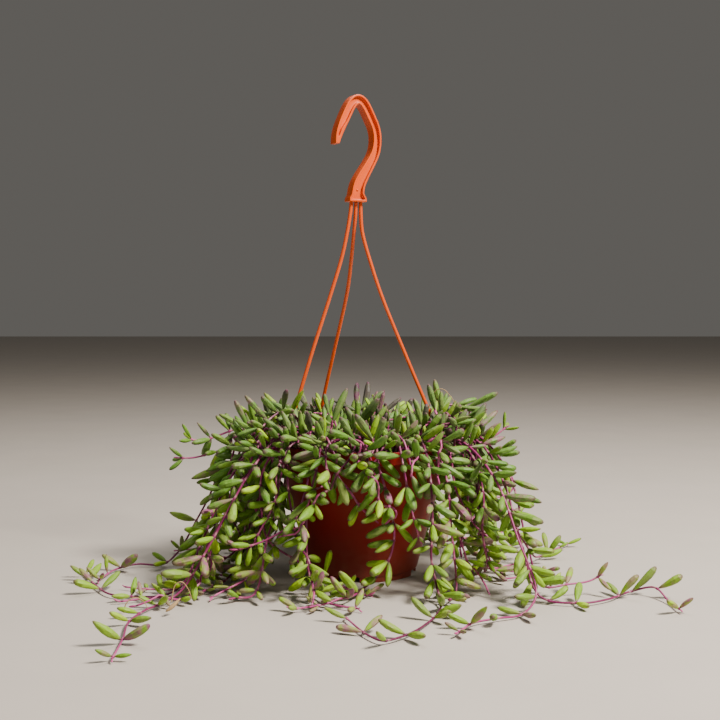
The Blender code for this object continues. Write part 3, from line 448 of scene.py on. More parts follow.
MIDDLE_TOP = (121.0, 135.0)
MIDDLE_LEAN = (2, 8)
MIDDLE_FIRST_LEAF = 3
HANGING_AZIMUTHS = (-44, -36, -30, -24, -15, 10, -138, -146, -152, -160, -170, 176, 160,
                    34, 70, 95, 125, 145)
HANGING_START = (34, 54)
HANGING_CREST = (119, 137)
HANGING_END = (4, 60)
HANGING_REACH = (100, 128)
HANGING_REACH_RIGHT = (100, 112)
HANGING_RIGHT = 32
HANGING_WANDER = 0.55
HANGING_ROOT_SHARE = -0.5
HANGING_BENDS = ((58, -8, -0.2), (76, 0, 0.1), (92, -13, 0.25))
HANGING_KNEE = (94, 96, 0.6)
LYING_BELOW = 30
LYING_REACH = (20, 44)
LYING_WANDER = 0.5
COVER_AZIMUTHS = (-86, -74, -63, -52, -41, -30)
COVER_PROFILE = ((56, 94), (65, 106), (74, 113.5), (81, 110), (86, 101), (89, 90))
SHORT_SHOOTS = ("crown_shoots", "rim_shoots", "middle_shoots")
SHOOT_PIECES = {"crown_shoots": ("crown_shoots",), "rim_shoots": ("rim_shoots",),
                "hanging_shoots": ("hanging_shoots", *SHOWN_SHOOTS),
                "middle_shoots": ("middle_shoots",)}

# Round stems: radii at the root and the tip, swollen joints, and the gaps left between rings
STEM_RESOLUTION = 2
STEM_RADII = (1.02, 0.74)
STEM_TIP = 0.4
STEM_YOUTH = 70.0
NODE_SWELL = 0.42
NODE_REACH = 0.8
NODE_MARGIN = 1.5
JOINT_PALENESS = 0.45
FIRST_RING = 0.5
LAST_RING = 1.0
LEAST_RING_GAP = 0.3
LEAST_RING_STEP = 0.2

# Leaf models, and how the tone of a leaf or stem follows its place. A pair that rise() reads is
# where a share starts and where it is full. The others are odds, or spans to draw from.
LEAF_SEGMENTS = 8
LEAF_FLATNESS = 0.9
CROWN_TONE_RISE = (88, 122)
CROWN_TONE_REACH = (125, 85)
LOW_TONE = (95, 15)
BACK_TONE = (-60, 40)
# Heights and reaches over which painted shade on the stems grows from nothing to full
SHADE_LEVEL = (SOIL_TOP + 46, SOIL_TOP + 26)
SHADE_REACH = (94, 78)
YOUTH = (0.04, 0.38)
YOUTH_CHANCE = (-0.2, 0.22)
DARK_SHARE = (0.1, 0.32)
DARK_LEAF = (0.75, 1.0)
LIGHT_LEAF = (0.1, 0.6)
FRESH_SHARE = 0.12
FRESH_YOUTH = 0.6
FRESH_CROWN = 0.2
FLUSHED_REACH = 55.0
FLUSHED_LEVEL = LOW_LEVEL + 10
FLUSHED_TIPS = 0.7
FLUSHED_OTHERS = 0.14
FLUSH = (0.0, 0.25)
DEEP_FLUSH = (0.35, 0.8)

# Dead stems that have dried and curled, in the crown and on the floor, and a withered leaf as its
# place, direction, bend, length and half width
DRY_THREADS = [
    [(50, -12, 97), (54, -16, 136), (60, -20, 155), (66, -22, 156.5), (72, -21, 151),
     (76, -20, 145)],
    [(-176, -141, 1.0), (-174, -140, 8), (-168, -139, 12), (-162, -138, 9), (-158, -137, 2)],
    [(-144, -121, 4), (-141, -120, 17), (-136, -120, 19), (-131, -119, 12), (-129, -119, 6)],
    [(-89, -80, 30), (-88, -81, 23), (-84, -81, 16), (-76, -82, 12), (-72, -82, 13)],
]
DRY_RADIUS = 0.5
DRY_LEAF = ((-144, -149, 4.0), (0.7, 0.2, 0.4), (0.2, 0.3, 0.4), 10.0, 2.0)

# Leaf shapes, each as (share of the length, half width) from its root to its point
LEAF_OUTLINES = {
    "plump": ((0.05, 0.34), (0.20, 0.74), (0.42, 1.00), (0.65, 1.02), (0.85, 0.82), (0.965, 0.43)),
    "slim": ((0.06, 0.28), (0.22, 0.64), (0.44, 0.90), (0.66, 0.93), (0.86, 0.71), (0.965, 0.34)),
    "club": ((0.06, 0.26), (0.24, 0.60), (0.48, 0.90), (0.70, 1.03), (0.88, 0.86), (0.97, 0.47)),
    "spindle": ((0.06, 0.32), (0.20, 0.72), (0.40, 1.00), (0.61, 0.97), (0.82, 0.68),
                (0.955, 0.29)),
}

# Setting of every node that blends two colours
RGBA = {"data_type": "RGBA"}


def linear(code):
    """Linear colour of an sRGB hex value."""
    shares = [int(code[i:i + 2], 16) / 255 for i in (0, 2, 4)]
    return (*[s / 12.92 if s <= 0.04045 else ((s + 0.055) / 1.055) ** 2.4 for s in shares], 1.0)


def feed(tree, node, inputs):
    """Give each of a node's inputs its value or its link."""
    for name, value in inputs.items():
        if isinstance(value, bpy.types.NodeSocket):
            tree.links.new(value, node.inputs[name])
        else:
            node.inputs[name].default_value = value


def add(tree, kind, settings=None, inputs=None):
    """Add a shader node with its settings, values and links."""
    node = tree.nodes.new("ShaderNode" + kind)
    for name, value in (settings or {}).items():
        setattr(node, name, value)
    feed(tree, node, inputs or {})
    return node


def start_material(name):
    """New material, its node tree, its shader and the object coordinates."""
    made = bpy.data.materials.new(name)
    made.use_nodes = True
    tree = made.node_tree
    return made, tree, tree.nodes["Principled BSDF"], add(tree, "TexCoord").outputs["Object"]


# Injection-moulded polypropylene, terracotta red. Satin, a little waxy, with the faint mottling
# of recycled pigment and a film of dried water and soil dust that grows towards the foot.
def pot_polypropylene():
    made, tree, shader, place = start_material("pot_polypropylene")
    pigment = add(tree, "TexNoise", None, {"Vector": place, "Scale": 1 / 0.045, "Detail": 4.0})
    colour = add(tree, "Mix", RGBA, {
        0: pigment.outputs[0], 6: linear("760400"), 7: linear("8a0a00")})
    apart = add(tree, "SeparateXYZ", None, {0: place})
    low = add(tree, "MapRange", None, {
        "Value": apart.outputs["Z"], "From Min": 0.045, "From Max": 0.0})
    dust = add(tree, "TexNoise", None, {"Vector": place, "Scale": 1 / 0.007, "Detail": 6.0})
    film = add(tree, "Math", {"operation": "MULTIPLY"}, {0: dust.outputs[0], 1: low.outputs[0]})
    thin = add(tree, "Math", {"operation": "MULTIPLY_ADD"}, {0: film.outputs[0], 1: 0.4, 2: 0.01})
    dusty = add(tree, "Mix", RGBA, {
        0: thin.outputs[0], 6: colour.outputs[2], 7: linear("a07860")})
    rough = add(tree, "MapRange", None, {
        "Value": dust.outputs[0], "To Min": 0.4, "To Max": 0.55})
    grain = add(tree, "TexNoise", None, {"Vector": place, "Scale": 1 / 0.0011, "Detail": 2.0})
    bump = add(tree, "Bump", None, {
        "Strength": 0.25, "Distance": 0.00012, "Height": grain.outputs[0]})
    feed(tree, shader, {
        "Base Color": dusty.outputs[2], "Roughness": rough.outputs[0], "Normal": bump.outputs[0],
        "IOR": 1.49, "Specular IOR Level": 0.3})
    return made


# Injection-moulded polypropylene, bright orange. Smoother than the pot, because its mould is
# polished, with slight flow marks in the colour.
def hanger_polypropylene():
    made, tree, shader, place = start_material("hanger_polypropylene")
    flow = add(tree, "TexNoise", None, {"Vector": place, "Scale": 1 / 0.012, "Detail": 3.0})
    colour = add(tree, "Mix", RGBA, {
        0: flow.outputs[0], 6: linear("c24200"), 7: linear("d25200")})
    fine = add(tree, "TexNoise", None, {"Vector": place, "Scale": 1 / 0.0016, "Detail": 2.0})
    rough = add(tree, "MapRange", None, {
        "Value": fine.outputs[0], "To Min": 0.32, "To Max": 0.42})
    bump = add(tree, "Bump", None, {
        "Strength": 0.15, "Distance": 0.00008, "Height": fine.outputs[0]})
    feed(tree, shader, {
        "Base Color": colour.outputs[2], "Roughness": rough.outputs[0], "Normal": bump.outputs[0],
        "IOR": 1.49, "Specular IOR Level": 0.4})
    return made


# Damp peat with bark fines. Dark and matt, with paler fibres in it.
def damp_peat():
    made, tree, shader, place = start_material("damp_peat")
    clod = add(tree, "TexNoise", None, {"Vector": place, "Scale": 1 / 0.006, "Detail": 8.0})
    colour = add(tree, "Mix", RGBA, {
        0: clod.outputs[0], 6: linear("150c08"), 7: linear("4a3222")})
    fibre = add(tree, "TexVoronoi", None, {"Vector": place, "Scale": 1 / 0.0022})
    fleck = add(tree, "MapRange", None, {
        "Value": fibre.outputs["Distance"], "From Min": 0.16, "From Max": 0.08})
    rare = add(tree, "MapRange", None, {
        "Value": clod.outputs[0], "From Min": 0.52, "From Max": 0.66})
    seen = add(tree, "Math", {"operation": "MULTIPLY"}, {0: fleck.outputs[0], 1: rare.outputs[0]})
    flecked = add(tree, "Mix", RGBA, {
        0: seen.outputs[0], 6: colour.outputs[2], 7: linear("7a5a3c")})
    bump = add(tree, "Bump", None, {
        "Strength": 0.8, "Distance": 0.0012, "Height": clod.outputs[0]})
    feed(tree, shader, {
        "Base Color": flecked.outputs[2], "Normal": bump.outputs[0], "Roughness": 0.93})
    return made


# Skin of a juicy leaf under a thin waxy bloom. Satin, green with a dusty grey in the crown,
# purple where it leaves the stem and at its point, and darkened by strong light at the tips of
# the crown leaves. The attribute "tone" holds the share along the leaf, its youth, its flush and
# how far it belongs to the crown.
def leaf_skin():
    made, tree, shader, place = start_material("leaf_skin")
    tone = add(tree, "Attribute", {"attribute_name": "tone"})
    parts = add(tree, "SeparateColor", None, {0: tone.outputs["Color"]})
    along, youth, flush = parts.outputs[0], parts.outputs[1], parts.outputs[2]
    crown = tone.outputs["Alpha"]
    cloud = add(tree, "TexNoise", None, {"Vector": place, "Scale": 1 / 0.007, "Detail": 4.0})
    speck = add(tree, "TexNoise", None, {"Vector": place, "Scale": 1 / 0.0012, "Detail": 3.0})
    grown = add(tree, "Mix", RGBA, {
        0: cloud.outputs[0], 6: linear("3f6618"), 7: linear("5f9128")})
    fresh = add(tree, "Mix", RGBA, {
        0: youth, 6: grown.outputs[2], 7: linear("9cc40e")})
    aged = add(tree, "Math", {"operation": "MULTIPLY"}, {0: crown, 1: 0.85})
    dusty = add(tree, "Mix", RGBA, {
        0: aged.outputs[0], 6: fresh.outputs[2], 7: linear("667e50")})
    bloom = add(tree, "MapRange", None, {
        "Value": speck.outputs[0], "From Min": 0.46, "From Max": 0.7, "To Max": 0.26})
    waxed = add(tree, "Mix", RGBA, {
        0: bloom.outputs[0], 6: dusty.outputs[2], 7: linear("8fae50")})
    skin = add(tree, "UVMap", {"uv_map": "UVMap"})
    length = add(tree, "Mapping", None, {"Vector": skin.outputs[0], "Scale": (14.0, 1.6, 1.0)})
    streak = add(tree, "TexNoise", {"noise_dimensions": "4D"}, {
        "Vector": length.outputs[0], "W": flush, "Scale": 1.0, "Detail": 3.0})
    groove = add(tree, "MapRange", None, {
        "Value": streak.outputs[0], "From Min": 0.5, "From Max": 0.75, "To Max": 0.45})
    streaked = add(tree, "Mix", RGBA, {
        0: groove.outputs[0], 6: waxed.outputs[2], 7: linear("2c4a1a")})
    patch = add(tree, "MapRange", None, {
        "Value": cloud.outputs[0], "From Min": 0.38, "From Max": 0.6})
    blush = add(tree, "Math", {"operation": "MULTIPLY"}, {0: flush, 1: patch.outputs[0]})
    flushed = add(tree, "Mix", RGBA, {
        0: blush.outputs[0], 6: streaked.outputs[2], 7: linear("8d4d70")})
    sunned = add(tree, "Math", {"operation": "MULTIPLY_ADD"}, {0: crown, 1: 1.6, 2: along})
    burnt = add(tree, "MapRange", None, {
        "Value": sunned.outputs[0], "From Min": 1.4, "From Max": 2.1, "To Max": 0.78})
    tipped = add(tree, "Mix", RGBA, {
        0: burnt.outputs[0], 6: flushed.outputs[2], 7: linear("3a2634")})
    point = add(tree, "MapRange", None, {
        "Value": along, "From Min": 0.88, "From Max": 1.0, "To Max": 0.85})
    pointed = add(tree, "Mix", RGBA, {
        0: point.outputs[0], 6: tipped.outputs[2], 7: linear("5f3248")})
    root = add(tree, "MapRange", None, {
        "Value": along, "From Min": 0.17, "From Max": 0.02, "To Max": 0.85})
    rooted = add(tree, "Mix", RGBA, {
        0: root.outputs[0], 6: pointed.outputs[2], 7: linear("84436c")})
    rough = add(tree, "MapRange", None, {
        "Value": speck.outputs[0], "To Min": 0.36, "To Max": 0.66})
    relief = add(tree, "Math", {"operation": "ADD"}, {0: cloud.outputs[0], 1: streak.outputs[0]})
    bump = add(tree, "Bump", None, {
        "Strength": 0.5, "Distance": 0.0004, "Height": relief.outputs[0]})
    feed(tree, shader, {
        "Base Color": rooted.outputs[2], "Roughness": rough.outputs[0], "Normal": bump.outputs[0],
        "IOR": 1.4, "Subsurface Weight": 0.1, "Subsurface Radius": (0.0012, 0.0022, 0.0005),
        "Specular IOR Level": 0.36})
    return made


# Skin of a trailing stem: smooth, waxy and magenta, paler at the joints where leaves grow,
# pinker towards the growing tip, and darker with painted shade inside the crown. The attribute
# "tone" holds the joint, the youth, and the darkening, which is the stem's random tone or, where
# it is stronger, the painted shade.
def stem_skin():
    made, tree, shader, place = start_material("stem_skin")
    tone = add(tree, "Attribute", {"attribute_name": "tone"})
    parts = add(tree, "SeparateColor", None, {0: tone.outputs["Color"]})
    joint, youth, shade = parts.outputs[0], parts.outputs[1], parts.outputs[2]
    streak = add(tree, "TexNoise", None, {"Vector": place, "Scale": 1 / 0.004, "Detail": 4.0})
    # Darker colour for the stem's random tone and for painted shade inside the crown
    mature_and_shaded = add(tree, "Mix", RGBA, {
        0: shade, 6: linear("8a2a62"), 7: linear("4a102e")})
    young = add(tree, "Mix", RGBA, {
        0: youth, 6: mature_and_shaded.outputs[2], 7: linear("b24a84")})
    mottle = add(tree, "MapRange", None, {
        "Value": streak.outputs[0], "From Min": 0.45, "From Max": 0.75, "To Max": 0.25})
    mottled = add(tree, "Mix", RGBA, {
        0: mottle.outputs[0], 6: young.outputs[2], 7: linear("984a78")})
    jointed = add(tree, "Mix", RGBA, {
        0: joint, 6: mottled.outputs[2], 7: linear("cf9c9c")})
    rough = add(tree, "MapRange", None, {
        "Value": streak.outputs[0], "To Min": 0.3, "To Max": 0.48})
    feed(tree, shader, {
        "Base Color": jointed.outputs[2], "Roughness": rough.outputs[0], "IOR": 1.42,
        "Subsurface Weight": 0.06, "Subsurface Radius": (0.002, 0.0008, 0.001)})
    return made


# Dead stem or leaf. Papery and matt, straw yellow with rust brown where it is oldest.
def dry_fibre():
    made, tree, shader, place = start_material("dry_fibre")
    stain = add(tree, "TexNoise", None, {"Vector": place, "Scale": 1 / 0.003, "Detail": 5.0})
    colour = add(tree, "Mix", RGBA, {
        0: stain.outputs[0], 6: linear("7c5c38"), 7: linear("c2a678")})
    bump = add(tree, "Bump", None, {
        "Strength": 0.6, "Distance": 0.0003, "Height": stain.outputs[0]})
    feed(tree, shader, {
        "Base Color": colour.outputs[2], "Normal": bump.outputs[0], "Roughness": 0.8})
    return made


# Seamless studio paper, pale warm grey and quite matt.
def studio_paper():
    made, tree, shader, place = start_material("studio_paper")
    tooth = add(tree, "TexNoise", None, {"Vector": place, "Scale": 1 / 0.08, "Detail": 5.0})
    colour = add(tree, "Mix", RGBA, {
        0: tooth.outputs[0], 6: linear("a9a29a"), 7: linear("b2aba2")})
    feed(tree, shader, {"Base Color": colour.outputs[2], "Roughness": 0.85})
    return made


def deselect():
    """Leave edit mode and select nothing."""
    if bpy.context.object and bpy.context.object.mode != "OBJECT":
        bpy.ops.object.mode_set(mode="OBJECT")
    bpy.ops.object.select_all(action="DESELECT")


def make_active(piece):
    """Select one object alone."""
    deselect()
    piece.select_set(True)
    bpy.context.view_layer.objects.active = piece


def unselect_mesh(piece):
    """Unselect every vertex, edge and face of a piece that is in object mode."""
    for group in (piece.data.vertices, piece.data.edges, piece.data.polygons):
        group.foreach_set("select", [False] * len(group))


def settle_piece(piece, name, finish, angle=35.0):
    """Name a piece, apply its place, give it its finish and smooth it."""
    make_active(piece)
    piece.name = piece.data.name = name
    bpy.ops.object.transform_apply(location=True, rotation=True, scale=True)
    piece.data.materials.clear()
    piece.data.materials.append(finish)
    bpy.ops.object.shade_smooth_by_angle(angle=math.radians(angle))


def round_edges(piece, width, angle=32.0):
    """Bevel the edges that are sharper than the angle."""
    make_active(piece)
    bevel = piece.modifiers.new("rounding", "BEVEL")
    bevel.width = width * MM
    bevel.segments = ROUNDING_STEPS
    bevel.limit_method = "ANGLE"
    bevel.angle_limit = math.radians(angle)
    bpy.ops.object.modifier_apply(modifier=bevel.name)


def cut_out(piece, cutter):
    """Take the cutter's shape out of the piece."""
    make_active(piece)
    cut = piece.modifiers.new("cut", "BOOLEAN")
    cut.object = cutter
    cut.operation = "DIFFERENCE"
    cut.solver = "EXACT"
    bpy.ops.object.modifier_apply(modifier=cut.name)
    bpy.data.objects.remove(cutter)


def join_all(pieces):
    """Join pieces into the first of them."""
    deselect()
    for piece in pieces:
        piece.select_set(True)
    bpy.context.view_layer.objects.active = pieces[0]
    bpy.ops.object.join()
    return pieces[0]


def turn_profile(profile, steps):
    """Shell turned about the pot's axis from (radius, height) points, both ends on the axis."""
    deselect()
    radius, height = profile[0]
    bpy.ops.mesh.primitive_plane_add(size=MM, location=(radius * MM, 0.0, height * MM))
    piece = bpy.context.object
    bpy.ops.object.mode_set(mode="EDIT")
    bpy.ops.mesh.merge(type="CENTER")
    for (r0, z0), (r1, z1) in zip(profile, profile[1:]):
        bpy.ops.mesh.extrude_region_move(
            TRANSFORM_OT_translate={"value": ((r1 - r0) * MM, 0.0, (z1 - z0) * MM)})
    bpy.ops.mesh.select_all(action="SELECT")
    bpy.ops.mesh.spin(steps=steps, angle=2 * math.pi, center=(0, 0, 0), axis=(0, 0, 1))
    bpy.ops.mesh.select_all(action="SELECT")
    bpy.ops.mesh.remove_doubles(threshold=1e-6)
    bpy.ops.mesh.normals_make_consistent(inside=False)
    bpy.ops.object.mode_set(mode="OBJECT")
    return piece


def box_cutter(size, radius, azimuth, height):
    """Box across the wall at an azimuth, as a cutter."""
    angle = math.radians(azimuth)
    deselect()
    bpy.ops.mesh.primitive_cube_add(
        size=1.0, scale=[s * MM for s in size], rotation=(0.0, 0.0, angle),
        location=(radius * MM * math.cos(angle), radius * MM * math.sin(angle), height * MM))
    return bpy.context.object


def make_pot(finish):
    """Pot with its rounded rim band, foot notches, drain holes and hanger holes."""
    floor_top = FOOT_HEIGHT + WALL
    pot = turn_profile([
        (0.0, FOOT_HEIGHT), (FOOT_RADIUS - FOOT_WALL, FOOT_HEIGHT), (FOOT_RADIUS - FOOT_WALL, 0.0),
        (FOOT_RADIUS, 0.0), (FOOT_RADIUS, FOOT_HEIGHT - LEDGE_CHAMFER),
        (LEDGE_RADIUS, FOOT_HEIGHT), (SHOULDER_RADIUS, BAND_BOTTOM),
        (RIM_RADIUS - BAND_TAPER, BAND_BOTTOM + BAND_CHAMFER), (RIM_RADIUS, POT_HEIGHT),
        (BAND_INSIDE, POT_HEIGHT), (BAND_INSIDE, BAND_BOTTOM + BAND_STEP[0]),
        (SHOULDER_RADIUS - WALL, BAND_BOTTOM - BAND_STEP[1]),
        (wall_radius(floor_top) - WALL, floor_top), (0.0, floor_top)], POT_STEPS)
    round_edges(pot, POT_ROUNDING)
    for i in range(NOTCH_COUNT):
        azimuth = NOTCH_AZIMUTH + i * 360 / NOTCH_COUNT
        cut_out(pot, box_cutter((CUTTER_DEPTH, NOTCH_WIDTH, 2 * NOTCH_HEIGHT), FOOT_RADIUS,
                                azimuth, 0.0))
    for i in range(HANGER_HOLES):
        azimuth = HANGER_HOLE_AZIMUTH + i * 360 / HANGER_HOLES
        cut_out(pot, box_cutter((CUTTER_DEPTH, HANGER_HOLE, HANGER_HOLE),
                                RIM_RADIUS - RIM_WALL / 2, azimuth, HANGER_HOLE_HEIGHT))
    for i in range(DRAIN_COUNT):
        angle = math.radians(NOTCH_AZIMUTH + 45) + i * 2 * math.pi / DRAIN_COUNT
        deselect()
        bpy.ops.mesh.primitive_cylinder_add(
            vertices=ROUND_SIDES, radius=DRAIN_RADIUS * MM, depth=CUTTER_DEPTH * MM,
            location=(DRAIN_CIRCLE * MM * math.cos(angle), DRAIN_CIRCLE * MM * math.sin(angle),
                      floor_top * MM))
        cut_out(pot, bpy.context.object)
    settle_piece(pot, "moulded_pot", finish)
    return pot


def make_soil(finish, rng):
    """Plug of potting mix with a lumpy top and loose crumbs on it."""
    bottom = FOOT_HEIGHT + WALL + SOIL_GAP
    inset = WALL + SOIL_GAP
    top_radius = wall_radius(SOIL_TOP - SOIL_EDGE) - inset
    rings = [(top_radius * k / SOIL_RINGS, SOIL_TOP) for k in range(SOIL_RINGS - 1, 0, -1)]
    soil = turn_profile([(0.0, bottom), (wall_radius(bottom) - inset, bottom),
                         (top_radius, SOIL_TOP - SOIL_EDGE), *rings, (0.0, SOIL_TOP)], SOIL_STEPS)
    for vertex in soil.data.vertices:
        place = soil.matrix_world @ vertex.co / MM
        if place.z > SOIL_TOP - SOIL_EDGE / 2:
            fine = FINE_LUMP_SHARE * noise.noise(place / FINE_LUMP_SIZE)
            lump = noise.noise(place / LUMP_SIZE) + fine
            vertex.co.z += (SOIL_RELIEF * lump - SOIL_SINK) * MM
    crumbs = []
    for _ in range(CRUMBS):
        angle = rng.uniform(0, 2 * math.pi)
        reach = (top_radius - CRUMB_MARGIN) * math.sqrt(rng.random())
        place = Vector((reach * math.cos(angle), reach * math.sin(angle), SOIL_TOP - CRUMB_SINK))
        size = rng.uniform(*CRUMB_SIZE)
        deselect()
        bpy.ops.mesh.primitive_ico_sphere_add(
            subdivisions=1, radius=size * MM, location=place * MM,
            scale=(1.0, *[rng.uniform(*span) for span in CRUMB_SQUASH]),
            rotation=[rng.uniform(0, 3) for _ in range(3)])
        crumbs.append(bpy.context.object)
    soil = join_all([soil] + crumbs)
    settle_piece(soil, "potting_mix", finish, angle=60.0)
    return soil


def unit(vector):
    """The vector at length one."""
    return vector / np.linalg.norm(vector)


def unit_rows(vectors):
    """Each row of an array at length one."""
    return vectors / np.linalg.norm(vectors, axis=1)[:, None]


def rise(value, start, end):
    """Share of the way from start to end that a value has come, from 0 to 1."""
    return np.clip((value - start) / (end - start), 0.0, 1.0)


def wall_radius(height):
    """Outer radius of the pot's tapering wall."""
    share = (height - FOOT_HEIGHT) / (BAND_BOTTOM - FOOT_HEIGHT)
    return LEDGE_RADIUS + share * (SHOULDER_RADIUS - LEDGE_RADIUS)


def lengths_along(points):
    """Distance of each point from the first, measured along the line."""
    steps = np.linalg.norm(np.diff(points, axis=0), axis=1)
    return np.concatenate(([0.0], np.cumsum(steps)))


def read_line(marks, along, points):
    """Points of a line at new distances along it, from its points and their distances."""
    return np.column_stack([np.interp(marks, along, column) for column in points.T])


def curve_through(points, step):
    """Smooth curve through the points, read at an even step."""
    points = np.array(points, float)
    ends = (2 * points[0] - points[1], 2 * points[-1] - points[-2])
    guide = np.vstack((ends[0], points, ends[1]))
    spans = np.linalg.norm(np.diff(guide, axis=0), axis=1)
    knots = np.concatenate(([0.0], np.cumsum(spans ** 0.5)))
    fine = []
    for i in range(1, len(guide) - 2):
        p0, p1, p2, p3 = guide[i - 1:i + 3]
        k0, k1, k2, k3 = knots[i - 1:i + 3]
        for k in np.linspace(k1, k2, CURVE_SAMPLES, endpoint=False):
            a1 = (k1 - k) / (k1 - k0) * p0 + (k - k0) / (k1 - k0) * p1
            a2 = (k2 - k) / (k2 - k1) * p1 + (k - k1) / (k2 - k1) * p2
            a3 = (k3 - k) / (k3 - k2) * p2 + (k - k2) / (k3 - k2) * p3
            b1 = (k2 - k) / (k2 - k0) * a1 + (k - k0) / (k2 - k0) * a2
            b2 = (k3 - k) / (k3 - k1) * a2 + (k - k1) / (k3 - k1) * a3
            fine.append((k2 - k) / (k2 - k1) * b1 + (k - k1) / (k2 - k1) * b2)
    fine.append(guide[-2])
    fine = np.array(fine)
    along = lengths_along(fine)
    count = max(2, int(round(along[-1] / step)) + 1)
    marks = np.linspace(0.0, along[-1], count)
    return read_line(marks, along, fine)


def frames_along(path):
    """Tangents of a path and a side direction carried along it without twist."""
    tangents = unit_rows(np.gradient(path, axis=0))
    sides = []
    side = np.array(FIRST_SIDE)
    for tangent in tangents:
        side = unit(side - side.dot(tangent) * tangent)
        sides.append(side)
    return tangents, np.array(sides)


def strand_path(azimuth, points):
    """Path of a hanger strand, ending in its peg through the rim band."""
    angle = math.radians(azimuth)
    outward = np.array((math.cos(angle), math.sin(angle), 0.0))
    peg = [(BAND_INSIDE - inside) * outward + (HANGER_HOLE_HEIGHT + above) * UP
           for inside, above in PEG_POINTS]
    return curve_through([*points, *peg], 1.0), outward


def inside_pot(radius, height):
    """Whether points are inside the soil, the wall or the rim band."""
    wall = wall_radius(height)
    filled = (height > 0) & (height < SOIL_TOP) & (radius < wall)
    in_band = (height >= SOIL_TOP) & (height < POT_HEIGHT)
    return filled | (in_band & (radius > BAND_INSIDE) & (radius < RIM_RADIUS))


def pot_distance(points):
    """Signed distance of points from the filled pot, and the direction away from it."""
    radius = np.hypot(points[:, 0], points[:, 1])
    flat = np.column_stack((radius, points[:, 2]))
    best = np.full(len(flat), np.inf)
    away = np.zeros_like(flat)
    for start, end in zip(POT_OUTLINE, POT_OUTLINE[1:]):
        span = end - start
        share = np.clip((flat - start) @ span / (span @ span), 0.0, 1.0)
        gap = flat - (start + share[:, None] * span)
        distance = np.linalg.norm(gap, axis=1)
        nearer = distance < best
        best[nearer] = distance[nearer]
        away[nearer] = gap[nearer]
    sign = np.where(inside_pot(radius, points[:, 2]), -1.0, 1.0)
    away *= (sign / np.maximum(best, 1e-6))[:, None]
    safe = np.maximum(radius, 1e-6)
    direction = np.column_stack((away[:, 0] * points[:, 0] / safe,
                                 away[:, 0] * points[:, 1] / safe, away[:, 1]))
    return sign * best, direction


class Room:
    """Balls that fill the space already taken, each with its owner."""

    def __init__(self):
        self.centres = np.empty((0, 3))
        self.radii = np.empty(0)
        self.owners = np.empty(0, int)

    def take(self, centres, radii, owner):
        """Fill the space of these balls."""
        self.centres = np.vstack((self.centres, centres))
        self.radii = np.concatenate((self.radii, np.broadcast_to(radii, len(centres))))
        self.owners = np.concatenate((self.owners, np.full(len(centres), owner)))

    def gap(self, centres, radii, skip=-1):
        """Smallest gap between new balls and those of other owners."""
        others = self.owners != skip
        close = np.linalg.norm(self.centres - centres.mean(axis=0), axis=1) < NEARBY
        near = others & close
        if not near.any():
            return np.inf
        apart = np.linalg.norm(centres[:, None] - self.centres[near][None], axis=2)
        return (apart - radii[:, None] - self.radii[near][None]).min()


def settle(path, room):
    """Bend a path clear of the pot, the floor and what is already placed."""
    tree = KDTree(len(room.centres))
    for i, centre in enumerate(room.centres):
        tree.insert(centre, i)
    tree.balance()
    start = path.copy()
    start[:HELD_STEPS + 1, :2] = path[0, :2]
    shift = np.zeros_like(path)
    for done in range(SETTLE_ROUNDS):
        path = start + shift
        for i in range(HELD_STEPS + 1, len(path)):
            near, index, distance = tree.find(path[i])
            wanted = STEM_RADIUS + room.radii[index] + STEM_GAP
            if distance < wanted:
                push = path[i] - np.array(near)
                radial = unit(np.array((path[i][0], path[i][1], 0.0)))
                lean = UP if path[i][2] < LIFT_LEVEL else radial
                away = unit(push + SETTLE_LEAN * lean)
                shift[i] += away * (wanted - distance) * SETTLE_SHARE
        path = start + shift
        distance, direction = pot_distance(path)
        short = np.clip(STEM_RADIUS + POT_GAP - distance, 0.0, None)
        short[:HELD_STEPS + 1] = 0.0
        shift += short[:, None] * direction
        if done < SETTLE_ROUNDS - UNSMOOTHED_ROUNDS:
            shift[1:-1] = 0.25 * shift[:-2] + 0.5 * shift[1:-1] + 0.25 * shift[2:]
        shift[:HELD_STEPS + 1] = 0.0
        low = STEM_RADIUS + FLOOR_GAP + SETTLE_LIFT - (start + shift)[:, 2]
        shift[:, 2] += np.clip(low, 0.0, None)
    return start + shift


def leaf_steps(path, rng):
    """Steps of a path that bear leaves, closer together in the crown."""
    steps = []
    step = FIRST_LEAF
    last = len(path) - 3
    while step < last - 3:
        steps.append(int(step))
        place = path[int(step)]
        crown = place[2] > CROWN_LEVEL and np.hypot(place[0], place[1]) < CROWN_EDGE
        step += rng.uniform(*(CROWN_SPACING if crown else TRAIL_SPACING)) / PATH_STEP
    return steps + [last]


def straight_runs(path, fixed):
    """Path made of straight runs between the fixed steps and wherever it would stray."""
    corners = [0, HELD_STEPS]
    for step in fixed + [len(path) - 1]:
        i = corners[-1] + 2
        while i < step - 1:
            span = unit(path[i + 1] - path[corners[-1]])
            arms = path[corners[-1] + 1:i + 1] - path[corners[-1]]
            if np.linalg.norm(np.cross(arms, span), axis=1).max() > STRAY:
                corners.append(i)
                i += 1
            i += 1
        corners.append(step)
    return read_line(np.arange(len(path)), corners, path[corners])


